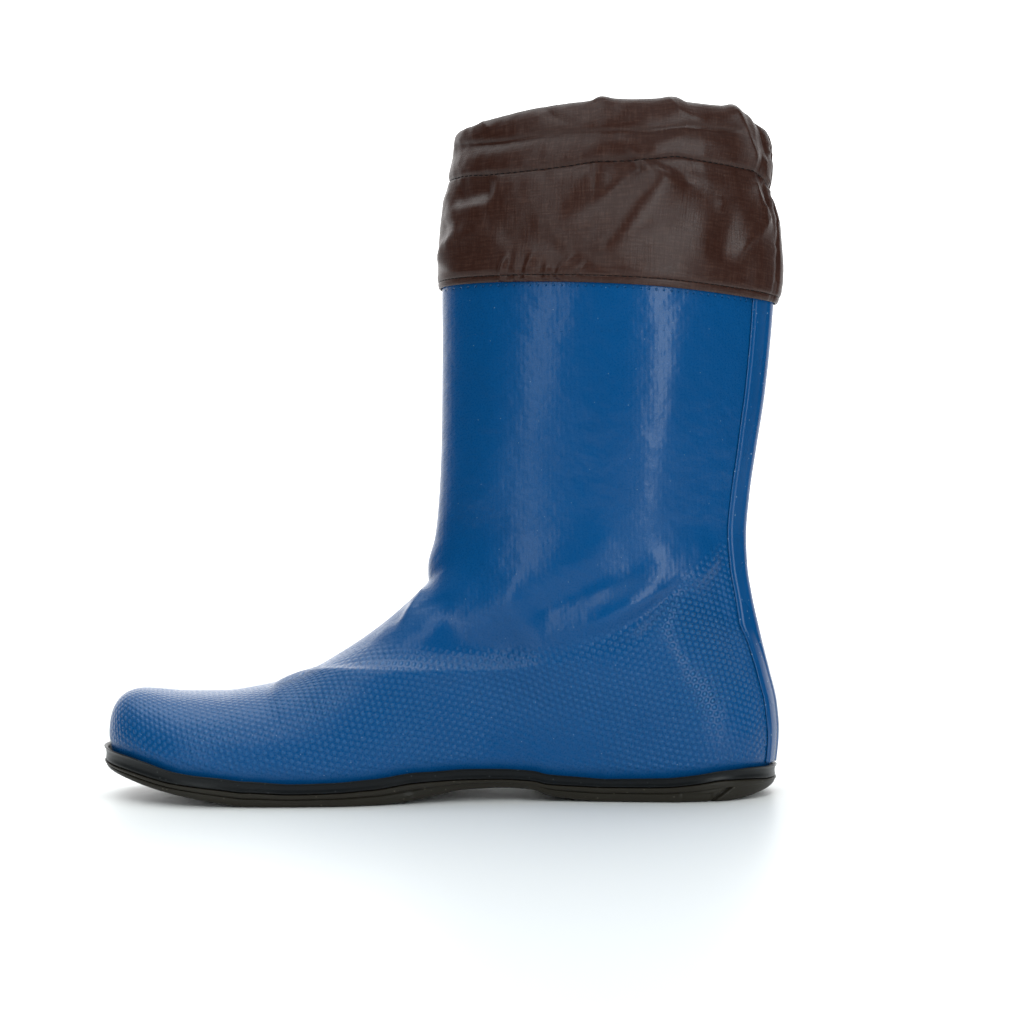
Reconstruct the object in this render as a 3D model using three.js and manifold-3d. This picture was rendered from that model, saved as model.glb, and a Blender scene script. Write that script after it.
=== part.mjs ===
// A folding rubber boot for the right foot: thin embossed rubber upper, cloth cuff with a drawn casing,
// black foxing tray and a brown tread. Millimetres, +Z up, floor at z = 0, toe towards -X, inner side -Y.
import * as THREE from "three";
import { mergeVertices } from "three/addons/utils/BufferGeometryUtils.js";
import Module from "manifold-3d";

const wasm = await Module();
wasm.setup();

// Overall sizes
const bootLength = 270;
const ballBreadth = 93;
const instepHeight = 86;
const heelBulge = 133.6; // the upper's rearmost point, from the middle of the length

// The leg of the upper
const legHeight = 208; // top edge of the rubber, inside the cuff
const legDepth = 131;
const legBreadth = 88;
const legFront = 0.4; // x of the leg's front edge

// The sole
const toeSpring = 13;
const archRise = 5.5;
const heelSpring = 4.2;
const outsoleThickness = 7;
const foxingHeight = 4.6;
const foxingFloor = 1.2;
const lipThickness = 1.3;
const lipFlare = 0.5;
const toeLip = 4.6; // the upper's toe behind the boot's front end
const insoleThickness = 2.6;

// Walls and clearances
const footWall = 2;
const legWall = 1.4;
const featherTuck = 1.1; // the upper turns in this far where it enters the foxing
const seatGap = 0.3;
const featherGap = 0.7; // under the upper's lower edge

// The tape over the back seam
const tapeBreadth = 29;
const tapeThickness = 0.8;
const tapeUnder = 6; // how far the tape runs up under the cuff
const lapBreadth = 12; // the lap of the two panels, felt through the tape
const lapHeight = 0.35;

// The cloth cuff, by how far its hem hangs under the rubber's top edge and its rim stands over it
const hemFrontDrop = 7.6;
const hemBackDrop = 13;
const cuffRise = 59.6;
const hemFront = legHeight - hemFrontDrop;
const hemBack = legHeight - hemBackDrop;
const cuffTop = legHeight + cuffRise;
const hemDepth = 5;
const rimDrop = 9.6;
const casingHeight = 25;
const clothWall = 0.8;
const hemTurn = 0.5; // the doubled cloth of the hem
const casingWall = 3.4; // the drawn casing, as one soft ring
const gathers = 11;
const gatherDepth = 1.2;

// The heel's side: a set-back between the plate and the rear block, and a slanted notch
const plateEnd = 93;
const blockFront = 105;
const plateThickness = 3.6;
const recessDepth = 0.5;
const notchWidth = 1.1;
const notchDepth = 1.6;
const notchTilt = 0.9; // from upright, towards the heel

// Tread
const treadDepth = 1.5;
const treadSlot = 2.2;
const treadPitch = 9;
const treadBorder = 9;

// Number of faces
const aroundSide = 26;
const footRows = 22;
const cuffRows = 6;

const toeEnd = -bootLength / 2 + toeLip; // x of the upper's toe

// Sections of the foot, from toe (0) to heel (1). inner and outer: half breadths, and middle: the centre
// line's shift, as shares of ballBreadth. top: height over the floor as a share of instepHeight, which goes on
// inside the leg so that the foot form ends there.
const footSections = [
  { at: 0.0, inner: 0.37, outer: 0.37, middle: -0.09, top: 0.482 },
  { at: 0.045, inner: 0.385, outer: 0.39, middle: -0.083, top: 0.483 },
  { at: 0.11, inner: 0.41, outer: 0.427, middle: -0.068, top: 0.467 },
  { at: 0.16, inner: 0.43, outer: 0.453, middle: -0.054, top: 0.464 },
  { at: 0.22, inner: 0.453, outer: 0.477, middle: -0.036, top: 0.488 },
  { at: 0.28, inner: 0.47, outer: 0.492, middle: -0.021, top: 0.54 },
  { at: 0.34, inner: 0.472, outer: 0.501, middle: -0.01, top: 0.64 },
  { at: 0.4, inner: 0.446, outer: 0.498, middle: -0.003, top: 0.765 },
  { at: 0.46, inner: 0.4, outer: 0.474, middle: 0, top: 0.925 },
  { at: 0.52, inner: 0.358, outer: 0.44, middle: 0, top: 1.11 },
  { at: 0.6, inner: 0.333, outer: 0.405, middle: 0, top: 1.21 },
  { at: 0.7, inner: 0.337, outer: 0.375, middle: 0, top: 1.16 },
  { at: 0.82, inner: 0.358, outer: 0.368, middle: 0, top: 0.98 },
  { at: 0.92, inner: 0.362, outer: 0.366, middle: 0, top: 0.82 },
  { at: 1.0, inner: 0.36, outer: 0.36, middle: 0, top: 0.7 },
];

// Sections of the leg by height, as a share of legHeight. front and back: x from the leg's front edge and from
// the heel's rearmost point, as shares of legDepth. breadth: half breadth as a share of legBreadth.
const legSections = [
  { at: 0.03, front: 0.3, back: -0.018, breadth: 0.06 },
  { at: 0.07, front: 0.23, back: -0.006, breadth: 0.14 },
  { at: 0.12, front: 0.16, back: 0, breadth: 0.22 },
  { at: 0.17, front: 0.1, back: -0.006, breadth: 0.29 },
  { at: 0.23, front: 0.05, back: -0.027, breadth: 0.35 },
  { at: 0.3, front: 0.0, back: -0.054, breadth: 0.385 },
  { at: 0.38, front: -0.04, back: -0.082, breadth: 0.405 },
  { at: 0.43, front: -0.044, back: -0.094, breadth: 0.41 },
  { at: 0.49, front: -0.022, back: -0.098, breadth: 0.415 },
  { at: 0.57, front: -0.009, back: -0.088, breadth: 0.43 },
  { at: 0.66, front: -0.002, back: -0.067, breadth: 0.452 },
  { at: 0.76, front: 0, back: -0.042, breadth: 0.475 },
  { at: 0.88, front: 0, back: -0.022, breadth: 0.492 },
  { at: 1.0, front: 0, back: -0.008, breadth: 0.5 },
];

// Side view of the sole from toe to heel. toe, arch and heel: shares of the three rises under the sole.
// thick: share of outsoleThickness. foxing: share of foxingHeight. step: how deep the ledge's groove is cut.
const soleSections = [
  { at: 0.0, toe: 1.0, arch: 0, heel: 0, thick: 0.3, foxing: 1.08, step: 0.6 },
  { at: 0.03, toe: 0.83, arch: 0, heel: 0, thick: 0.39, foxing: 1.16, step: 1 },
  { at: 0.06, toe: 0.67, arch: 0, heel: 0, thick: 0.5, foxing: 1.18, step: 1 },
  { at: 0.09, toe: 0.51, arch: 0, heel: 0, thick: 0.55, foxing: 1.16, step: 1 },
  { at: 0.12, toe: 0.37, arch: 0, heel: 0, thick: 0.57, foxing: 1.02, step: 1 },
  { at: 0.16, toe: 0.22, arch: 0, heel: 0, thick: 0.66, foxing: 0.92, step: 1 },
  { at: 0.2, toe: 0.09, arch: 0, heel: 0, thick: 0.75, foxing: 0.94, step: 1 },
  { at: 0.235, toe: 0, arch: 0, heel: 0, thick: 0.78, foxing: 0.92, step: 1 },
  { at: 0.3, toe: 0, arch: 0, heel: 0, thick: 0.69, foxing: 0.84, step: 1 },
  { at: 0.36, toe: 0, arch: 0, heel: 0, thick: 0.74, foxing: 0.85, step: 1 },
  { at: 0.41, toe: 0, arch: 0, heel: 0, thick: 0.86, foxing: 0.87, step: 1 },
  { at: 0.46, toe: 0, arch: 0.2, heel: 0, thick: 0.95, foxing: 0.87, step: 0.9 },
  { at: 0.5, toe: 0, arch: 0.52, heel: 0, thick: 0.79, foxing: 0.81, step: 0.2 },
  { at: 0.54, toe: 0, arch: 0.86, heel: 0, thick: 0.57, foxing: 0.86, step: 0 },
  { at: 0.59, toe: 0, arch: 0.93, heel: 0, thick: 0.51, foxing: 0.84, step: 0 },
  { at: 0.635, toe: 0, arch: 0.82, heel: 0, thick: 0.49, foxing: 0.84, step: 0 },
  { at: 0.655, toe: 0, arch: 0.45, heel: 0, thick: 0.61, foxing: 0.82, step: 0.6 },
  { at: 0.7, toe: 0, arch: 0.13, heel: 0, thick: 0.76, foxing: 0.76, step: 1 },
  { at: 0.74, toe: 0, arch: 0, heel: 0, thick: 0.8, foxing: 0.7, step: 1 },
  { at: 0.82, toe: 0, arch: 0, heel: 0, thick: 0.82, foxing: 0.76, step: 1 },
  { at: 0.863, toe: 0, arch: 0, heel: 0, thick: 0.96, foxing: 0.77, step: 0.8 },
  { at: 0.91, toe: 0, arch: 0, heel: 0, thick: 1.15, foxing: 0.8, step: 0 },
  { at: 0.945, toe: 0, arch: 0, heel: 0.22, thick: 0.98, foxing: 0.95, step: 0 },
  { at: 0.975, toe: 0, arch: 0, heel: 0.62, thick: 0.6, foxing: 1.05, step: 0 },
  { at: 1.0, toe: 0, arch: 0, heel: 1, thick: 0.29, foxing: 0.98, step: 0 },
];

// The rim of the cuff from front (0) to back (1): how far it lies under cuffTop, in shares of rimDrop.
const rimSections = [
  { at: 0, drop: 0.65 },
  { at: 0.14, drop: 0.4 },
  { at: 0.28, drop: 0.32 },
  { at: 0.46, drop: 0.05 },
  { at: 0.62, drop: 0 },
  { at: 0.83, drop: 0.1 },
  { at: 0.91, drop: 0.25 },
  { at: 1, drop: 0.9 },
];

// The tape's breadth by height, as a share of legHeight.
const tapeSections = [
  { at: 0, breadth: 1.04 },
  { at: 0.14, breadth: 1.09 },
  { at: 0.2, breadth: 1.02 },
  { at: 0.255, breadth: 0.88 },
  { at: 0.31, breadth: 0.7 },
  { at: 0.37, breadth: 0.65 },
  { at: 0.43, breadth: 0.68 },
  { at: 0.5, breadth: 0.74 },
  { at: 0.62, breadth: 0.78 },
  { at: 0.75, breadth: 0.88 },
  { at: 1, breadth: 0.96 },
];

// The cuff by height from hem (0) to top (1). front and back: how far its edges stand inside the leg's line, in
// shares of legDepth. breadth: how far its half breadth differs, as a share of legBreadth. bulge: how far the
// wall stands out, in shares of hemDepth.
const cuffSections = [
  { at: 0.0, front: 0, back: 0, breadth: 0, bulge: 0 },
  { at: 0.125, front: 0.002, back: -0.009, breadth: 0.002, bulge: 0.14 },
  { at: 0.25, front: 0.006, back: -0.01, breadth: 0.004, bulge: 0.2 },
  { at: 0.42, front: 0.012, back: -0.009, breadth: 0.002, bulge: 0.2 },
  { at: 0.56, front: 0.016, back: -0.004, breadth: -0.004, bulge: 0.1 },
  { at: 0.63, front: 0.023, back: 0.004, breadth: -0.014, bulge: 0 },
  { at: 0.7, front: 0.042, back: 0.018, breadth: -0.022, bulge: 0.12 },
  { at: 0.82, front: 0.056, back: 0.022, breadth: -0.03, bulge: 0.2 },
  { at: 0.92, front: 0.064, back: 0.026, breadth: -0.044, bulge: 0.1 },
  { at: 1.0, front: 0.08, back: 0.042, breadth: -0.065, bulge: -0.1 },
];

// Monotone cubic through one column of a table: no overshoot, so equal neighbours stay level between them.
function curve(rows, column) {
  const last = rows.length - 1;
  const step = rows.slice(1).map((row, i) => row.at - rows[i].at);
  const rise = rows.slice(1).map((row, i) => (row[column] - rows[i][column]) / step[i]);
  const slope = rows.map((row, i) => {
    if (i === 0) return rise[0];
    if (i === last) return rise[last - 1];
    if (rise[i - 1] * rise[i] <= 0) return 0;
    const before = 2 * step[i] + step[i - 1];
    const after = step[i] + 2 * step[i - 1];
    return (before + after) / (before / rise[i - 1] + after / rise[i]);
  });
  return (at) => {
    const x = Math.min(Math.max(at, rows[0].at), rows[last].at);
    let i = 0;
    while (i < last - 1 && x > rows[i + 1].at) i += 1;
    const t = (x - rows[i].at) / step[i];
    const from = rows[i][column] * (1 + 2 * t) * (1 - t) ** 2 + slope[i] * step[i] * t * (1 - t) ** 2;
    const to = rows[i + 1][column] * t * t * (3 - 2 * t) - slope[i + 1] * step[i] * t * t * (1 - t);
    return from + to;
  };
}

const mix = (a, b, share) => a + (b - a) * share;
const smooth = (from, to, x) => THREE.MathUtils.smoothstep(x, from, to);

// A rounded end: 0 at the end itself, 1 from reach inwards.
function roundEnd(distance, reach, power) {
  const left = 1 - Math.min(Math.max(distance / reach, 0), 1);
  return (1 - left ** power) ** (1 / power);
}

const foot = {
  inner: curve(footSections, "inner"),
  outer: curve(footSections, "outer"),
  middle: curve(footSections, "middle"),
  top: curve(footSections, "top"),
};
const tapeWidth = curve(tapeSections, "breadth");
const rim = curve(rimSections, "drop");
const leg = {
  front: curve(legSections, "front"),
  back: curve(legSections, "back"),
  breadth: curve(legSections, "breadth"),
};
const sole = {
  toe: curve(soleSections, "toe"),
  arch: curve(soleSections, "arch"),
  heel: curve(soleSections, "heel"),
  thick: curve(soleSections, "thick"),
  foxing: curve(soleSections, "foxing"),
  step: curve(soleSections, "step"),
};
const cuff = {
  front: curve(cuffSections, "front"),
  back: curve(cuffSections, "back"),
  breadth: curve(cuffSections, "breadth"),
  bulge: curve(cuffSections, "bulge"),
};

// Heights along the sole, by x
const alongFoot = (x) => (x - toeEnd) / (heelBulge - toeEnd);
const alongSole = (x) => x / bootLength + 0.5;
function bottomZ(x) {
  const at = alongSole(x);
  return toeSpring * sole.toe(at) + archRise * sole.arch(at) + heelSpring * sole.heel(at);
}
const partingZ = (x) => bottomZ(x) + outsoleThickness * sole.thick(alongSole(x));
const lipZ = (x) => partingZ(x) + seatGap + foxingHeight * sole.foxing(alongSole(x));
const floorZ = (x) => partingZ(x) + seatGap + foxingFloor;
const featherZ = (x) => floorZ(x) + featherGap;

// Side outlines of the upper
const capLength = 0.05 * bootLength; // length of the toe's round front in side view
const capPower = 2.6;
const wideRise = 3.2; // the foot is widest this far over the lip
const wideZ = (x) => lipZ(x) + wideRise;
function footTopZ(x) {
  const full = instepHeight * foot.top(alongFoot(x));
  const base = wideZ(toeEnd);
  return base + (full - base) * roundEnd(x - toeEnd, capLength, capPower);
}
const frontX = (z) => legFront + legDepth * leg.front(z / legHeight);
const backX = (z) => heelBulge + legDepth * leg.back(z / legHeight);

// Half breadth of the upper at x, z: the foot form and the leg form, blended where they meet.
const toeRound = 0.19;
const toePower = 2.15;
const heelRound = 0.15;
const heelPower = 1.95;
const domePower = 2.35;
const legPinchBack = 0.5;
const legPinchFront = 0.1;
const cuffPinchBack = 0.2;
const blendPower = 4;
function outlineHalf(x, side, heelX) {
  const at = alongFoot(x);
  const wide = ballBreadth * (side < 0 ? foot.inner(at) : foot.outer(at));
  const toe = roundEnd(x - toeEnd, toeRound * bootLength, toePower);
  return wide * toe * roundEnd(heelX - x, heelRound * bootLength, heelPower);
}
function footHalf(x, z, side) {
  const top = footTopZ(x);
  const low = Math.min(wideZ(x), top);
  const up = top > low ? Math.min(Math.max((z - low) / (top - low), 0), 1) : 0;
  return outlineHalf(x, side, backX(z)) * (1 - up ** domePower) ** (1 / domePower);
}
function legHalf(x, z) {
  const front = frontX(z);
  const back = backX(z);
  const share = (2 * x - front - back) / (back - front);
  if (Math.abs(share) >= 1) return 0;
  const pinch = share > 0 ? legPinchBack : legPinchFront;
  return legBreadth * leg.breadth(z / legHeight) * Math.sqrt(1 - share ** 2) * (1 - pinch * share ** 2);
}
function upperHalf(x, z, side) {
  return (footHalf(x, z, side) ** blendPower + legHalf(x, z) ** blendPower) ** (1 / blendPower);
}

// The front outline runs from the toe over the instep to where it meets the leg, then up the leg.
function findAnkle() {
  let x = toeEnd;
  while (footTopZ(x) < legHeight * 0.35 || x < frontX(footTopZ(x))) x += 0.1;
  return { x, z: footTopZ(x) };
}
const ankle = findAnkle();
function frontLine() {
  const points = [new THREE.Vector2(toeEnd, featherZ(toeEnd))];
  const footSteps = 240;
  const legSteps = 60;
  for (let i = 0; i <= footSteps; i += 1) {
    const x = mix(toeEnd, ankle.x, (i / footSteps) ** 3);
    points.push(new THREE.Vector2(x, footTopZ(x)));
  }
  for (let i = 1; i <= legSteps; i += 1) {
    const z = mix(ankle.z, legHeight, i / legSteps);
    points.push(new THREE.Vector2(frontX(z), z));
  }
  const reach = [0];
  points.slice(1).forEach((p, i) => reach.push(reach[i] + p.distanceTo(points[i])));
  return { points, reach };
}
const front = frontLine();
function frontAt(share) {
  const wanted = share * front.reach.at(-1);
  let i = 1;
  while (i < front.reach.length - 1 && front.reach[i] < wanted) i += 1;
  const part = (wanted - front.reach[i - 1]) / (front.reach[i] - front.reach[i - 1]);
  return front.points[i - 1].clone().lerp(front.points[i], Math.min(Math.max(part, 0), 1));
}
function backAt(share) {
  const z = mix(featherZ(heelBulge), legHeight, share);
  return new THREE.Vector2(backX(z), z);
}

// A row of the upper runs from the back line to the front line over one side. Low rows follow the sole, the
// rows of the toe cap and instep bend down from the ridge, and the rows of the leg are straight.
const bend = 13;
const rowSteps = 160;
const turnWeight = 0.9; // how much closer the faces stand where the row turns
const middleY = (x) => ballBreadth * foot.middle(alongFoot(x));
function traceRow(up, side) {
  const a = frontAt(up);
  const b = backAt(up);
  const d = 2e-3;
  const ahead = frontAt(Math.min(up + d, 1)).sub(frontAt(Math.max(up - d, 0))).normalize();
  const reach = bend * (1 - smooth(0.38, 0.6, up));
  const turn = new THREE.Vector2(a.x + ahead.y * reach, a.y - ahead.x * reach);
  const points = [];
  for (let i = 0; i <= rowSteps; i += 1) {
    const eased = (1 - Math.cos((Math.PI * i) / rowSteps)) / 2;
    const s = (1 - Math.cos(Math.PI * eased)) / 2;
    const [p, q, r] = [(1 - s) ** 2, 2 * s * (1 - s), s * s];
    const x = p * b.x + q * turn.x + r * a.x;
    const low = featherZ(x) + mix(b.y - featherZ(b.x), a.y - featherZ(a.x), s);
    const z = mix(low, p * b.y + q * turn.y + r * a.y, smooth(0, 0.16, up));
    const atEnd = i === 0 || i === rowSteps;
    const half = atEnd ? 0 : upperHalf(x, z, side);
    if (atEnd || half > 0) points.push(new THREE.Vector3(x, middleY(x) + side * half, z));
  }
  return points;
}
// Effort along a row: its length and its turning, so that evenly spread points stand closer in the turns.
function spreadRow(points, side) {
  const steps = points.slice(1).map((p, i) => p.clone().sub(points[i]));
  const whole = steps.reduce((sum, step) => sum + step.length(), 0);
  const across = new THREE.Vector3(0, side, 0);
  const turns = steps.map((step, i) => (i === 0 ? across : steps[i - 1]).angleTo(step));
  turns.push(across.negate().angleTo(steps.at(-1)));
  const effort = [0];
  steps.forEach((step, i) => {
    const turn = (i === 0 ? turns[0] : turns[i] / 2) + (i === steps.length - 1 ? turns[i + 1] : turns[i + 1] / 2);
    effort.push(effort[i] + step.length() / whole + (turnWeight * turn) / Math.PI);
  });
  return effort.map((value) => value / effort.at(-1));
}
function pointAlong({ points, effort }, share) {
  let i = 1;
  while (i < effort.length - 1 && effort[i] < share) i += 1;
  const part = (share - effort[i - 1]) / Math.max(effort[i] - effort[i - 1], 1e-12);
  return points[i - 1].clone().lerp(points[i], Math.min(Math.max(part, 0), 1));
}
const rowCache = new Map();
function rowOf(up, side) {
  const key = side * (1 + up);
  if (!rowCache.has(key)) {
    const points = traceRow(up, side);
    rowCache.set(key, { points, effort: spreadRow(points, side) });
  }
  return rowCache.get(key);
}

// A point of the upper. around: 0 at the back, 1 at the front over the inner side, and back to 2 over the outer
// side. up: 0 at the feather edge, 1 at the top of the leg.
const sideOf = (around) => (Math.sin(Math.PI * around) >= 0 ? -1 : 1);
const fromBack = (around) => 1 - Math.abs((((around % 2) + 2) % 2) - 1);
function upperPoint(around, up) {
  return pointAlong(rowOf(up, sideOf(around)), fromBack(around));
}

// Outward normal of a surface given as a function of around and up.
function normalOf(surface, around, up) {
  const d = 1e-3;
  const across = surface(around + d, up).sub(surface(around - d, up));
  const upper = Math.min(up + d, 1);
  const lower = Math.max(up - d, 0);
  const along = surface(around, upper).sub(surface(around, lower));
  return across.cross(along).normalize().negate();
}
function offsetPoint(surface, around, up, distance) {
  return surface(around, up).addScaledVector(normalOf(surface, around, up), distance);
}

// Rings of points, all with the same count
const ringCount = 2 * aroundSide;
const ringOf = (place) => Array.from({ length: ringCount }, (_, i) => place((2 * i) / ringCount));
function insetRing(ring, distance) {
  return ring.map((p, i) => {
    const before = ring[(i + ringCount - 1) % ringCount];
    const after = ring[(i + 1) % ringCount];
    const out = new THREE.Vector3(before.y - after.y, after.x - before.x, 0).normalize();
    return p.clone().addScaledVector(out, distance);
  });
}
const atHeights = (ring, height) => ring.map((p) => new THREE.Vector3(p.x, p.y, height(p.x)));

// A closed mesh from rings. Where it isn't a loop of rings, each end is closed by rungs across the ring.
function fromRings(rings, loop) {
  const count = rings[0].length;
  const index = [];
  const quad = (a, b, c, d) => index.push(a, b, c, a, c, d);
  const last = loop ? rings.length : rings.length - 1;
  for (let k = 0; k < last; k += 1) {
    const next = (k + 1) % rings.length;
    for (let i = 0; i < count; i += 1) {
      const j = (i + 1) % count;
      quad(k * count + i, k * count + j, next * count + j, next * count + i);
    }
  }
  const half = count / 2;
  const cap = (start, flip) => {
    for (let i = 0; i < half; i += 1) {
      const corners = [i, i + 1, (count - i - 1) % count, (count - i) % count].map((c) => start + c);
      const faces = [[0, 1, 2], [0, 2, 3]].map((f) => f.map((c) => corners[c]));
      faces
        .filter((f) => new Set(f).size === 3)
        .forEach((f) => index.push(...(flip ? f.reverse() : f)));
    }
  };
  if (!loop) {
    cap(0, true);
    cap((rings.length - 1) * count, false);
  }
  const geometry = new THREE.BufferGeometry();
  const places = rings.flat().flatMap((p) => [p.x, p.y, p.z]);
  geometry.setAttribute("position", new THREE.Float32BufferAttribute(places, 3));
  geometry.setIndex(index);
  return facingOut(geometry);
}

// Turns a closed mesh right side out.
function facingOut(geometry) {
  const at = geometry.getAttribute("position");
  const index = geometry.getIndex().array;
  let volume = 0;
  const [a, b, c] = [new THREE.Vector3(), new THREE.Vector3(), new THREE.Vector3()];
  for (let i = 0; i < index.length; i += 3) {
    a.fromBufferAttribute(at, index[i]);
    b.fromBufferAttribute(at, index[i + 1]);
    c.fromBufferAttribute(at, index[i + 2]);
    volume += a.dot(b.cross(c));
  }
  if (volume < 0) {
    for (let i = 0; i < index.length; i += 3) {
      [index[i + 1], index[i + 2]] = [index[i + 2], index[i + 1]];
    }
  }
  return geometry;
}

function toSolid(geometry) {
  const bare = geometry.clone();
  bare.deleteAttribute("normal");
  bare.deleteAttribute("uv");
  const merged = mergeVertices(bare, 1e-4);
  return new wasm.Manifold(
    new wasm.Mesh({
      numProp: 3,
      vertProperties: merged.getAttribute("position").array,
      triVerts: new Uint32Array(merged.getIndex().array),
    }),
  );
}
function toGeometry(solid) {
  const { vertProperties, triVerts } = solid.getMesh();
  const geometry = new THREE.BufferGeometry();
  geometry.setAttribute("position", new THREE.BufferAttribute(vertProperties, 3));
  geometry.setIndex(new THREE.BufferAttribute(triVerts, 1));
  return geometry;
}

// Upper: one hollow wall, open at the top of the leg and underneath
const rowShare = (k) => (k / footRows) ** 1.6;
const tuckRows = 0.03;
function upperRing(up, inward) {
  const tuck = featherTuck * (1 - smooth(0, tuckRows, up));
  const ring = ringOf((around) => offsetPoint(upperPoint, around, up, -inward));
  return insetRing(ring, -tuck);
}
function upperGeometry() {
  const rows = Array.from({ length: footRows + 1 }, (_, k) => rowShare(k));
  const wall = (up) => mix(footWall, legWall, smooth(0.2, 0.5, up));
  const outside = rows.map((up) => upperRing(up, 0));
  const inside = rows.map((up) => upperRing(up, wall(up))).reverse();
  return fromRings([...outside, ...inside], true);
}

// The outline of the foot over the foxing, which every sole piece follows. Both sides have the same x.
function featherRing() {
  const heelX = backX(lipZ(heelBulge));
  const points = [];
  for (let i = 0; i <= rowSteps; i += 1) {
    const eased = (1 - Math.cos((Math.PI * i) / rowSteps)) / 2;
    const x = mix(heelX, toeEnd, (1 - Math.cos(Math.PI * eased)) / 2);
    const atEnd = i === 0 || i === rowSteps;
    points.push(new THREE.Vector3(x, atEnd ? 0 : outlineHalf(x, 1, heelX), 0));
  }
  const half = { points, effort: spreadRow(points, 1) };
  return ringOf((around) => {
    const { x } = pointAlong(half, fromBack(around));
    const side = sideOf(around);
    const atEnd = fromBack(around) < 1e-6 || fromBack(around) > 1 - 1e-6;
    return new THREE.Vector3(x, middleY(x) + (atEnd ? 0 : side * outlineHalf(x, side, heelX)), 0);
  });
}
const feather = featherRing();

// Foxing: a tray with a flared lip round the foot of the upper
function foxingGeometry() {
  const outerAt = (share) => (x) => mix(partingZ(x) + seatGap, lipZ(x), share);
  const edge = seatGap + lipThickness;
  const rings = [
    atHeights(insetRing(feather, edge - 0.35), outerAt(0)),
    atHeights(insetRing(feather, edge - 0.45), outerAt(0.3)),
    atHeights(insetRing(feather, edge - 0.2), outerAt(0.7)),
    atHeights(insetRing(feather, edge + lipFlare - 0.2), outerAt(0.95)),
    atHeights(insetRing(feather, edge + lipFlare - 0.75), outerAt(1)),
    atHeights(insetRing(feather, seatGap), outerAt(0.86)),
    atHeights(insetRing(feather, seatGap), floorZ),
  ];
  return fromRings(rings, false);
}

// Outsole: a ledge, a groove under it, then the tread plates, with a notch ahead of the heel's rear block
const ledgeShare = 0.3;
function outsoleGeometry() {
  const edge = seatGap + lipThickness;
  const down = (share) => (x) => mix(partingZ(x), bottomZ(x), share);
  const grooved = (ring, depth) => {
    const cut = insetRing(ring, -depth);
    return ring.map((p, i) => p.clone().lerp(cut[i], sole.step(alongSole(p.x))));
  };
  const ledge = insetRing(feather, edge + 0.05);
  const plate = insetRing(feather, edge - 0.3);
  const rings = [
    atHeights(insetRing(feather, edge - 0.55), down(0)),
    atHeights(ledge, down(0.08)),
    atHeights(insetRing(feather, edge - 0.1), down(ledgeShare)),
    atHeights(grooved(plate, 0.7), down(ledgeShare + 0.06)),
    atHeights(grooved(plate, 0.35), down(ledgeShare + 0.14)),
    atHeights(insetRing(feather, edge - 0.9), down(0.72)),
    atHeights(insetRing(feather, edge - 2.6), down(1)),
  ];
  let solid = toSolid(fromRings(rings, false));
  treadSlots().forEach((slot) => {
    solid = solid.subtract(toSolid(slot));
  });
  const heelSide = new THREE.BoxGeometry(blockFront - plateEnd, ballBreadth, plateThickness);
  heelSide.translate((blockFront + plateEnd) / 2, 0, plateThickness / 2);
  const notch = new THREE.BoxGeometry(notchWidth, ballBreadth, 2.4 * outsoleThickness);
  notch.rotateY(notchTilt).translate(blockFront, 0, 0);
  return toGeometry(
    solid
      .subtract(toSolid(heelSide).subtract(sideCore(recessDepth)))
      .subtract(toSolid(notch).subtract(sideCore(notchDepth))),
  );
}
// What is left of the sole inside a cut of the given depth along its side
function sideCore(depth) {
  const ring = insetRing(feather, seatGap + lipThickness - 1.4 - depth);
  const [low, high] = [-outsoleThickness, 4 * outsoleThickness];
  return toSolid(fromRings([atHeights(ring, () => low), atHeights(ring, () => high)], false));
}

// Slots across the tread, in the forefoot and in the heel, each inside the border of the outline
const treadZones = [
  { from: 0.1, to: 0.41 },
  { from: 0.715, to: 0.93 },
];
function treadSlots() {
  const slots = [];
  treadZones.forEach((zone) => {
    const first = (zone.from - 0.5) * bootLength;
    const last = (zone.to - 0.5) * bootLength;
    const count = Math.max(1, Math.floor((last - first) / treadPitch));
    for (let i = 0; i <= count; i += 1) {
      const x = mix(first, last, i / count);
      const heelX = backX(lipZ(heelBulge));
      const inner = middleY(x) - outlineHalf(x, -1, heelX) + treadBorder;
      const outer = middleY(x) + outlineHalf(x, 1, heelX) - treadBorder;
      const slot = new THREE.BoxGeometry(treadSlot, outer - inner, 2 * treadDepth);
      const tilt = Math.atan((bottomZ(x + 1) - bottomZ(x - 1)) / 2);
      slot.rotateY(-tilt);
      slot.translate(x, (inner + outer) / 2, bottomZ(x));
      slots.push(slot);
    }
  });
  return slots;
}

// Insole: lies in the foxing, inside the upper's wall
function insoleGeometry() {
  const edge = -(featherTuck + footWall + 2 * seatGap);
  const low = atHeights(insetRing(feather, edge - 0.2), (x) => floorZ(x) + seatGap);
  const high = atHeights(insetRing(feather, edge - 0.2), (x) => floorZ(x) + seatGap + insoleThickness);
  return fromRings([low, high], false);
}

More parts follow.
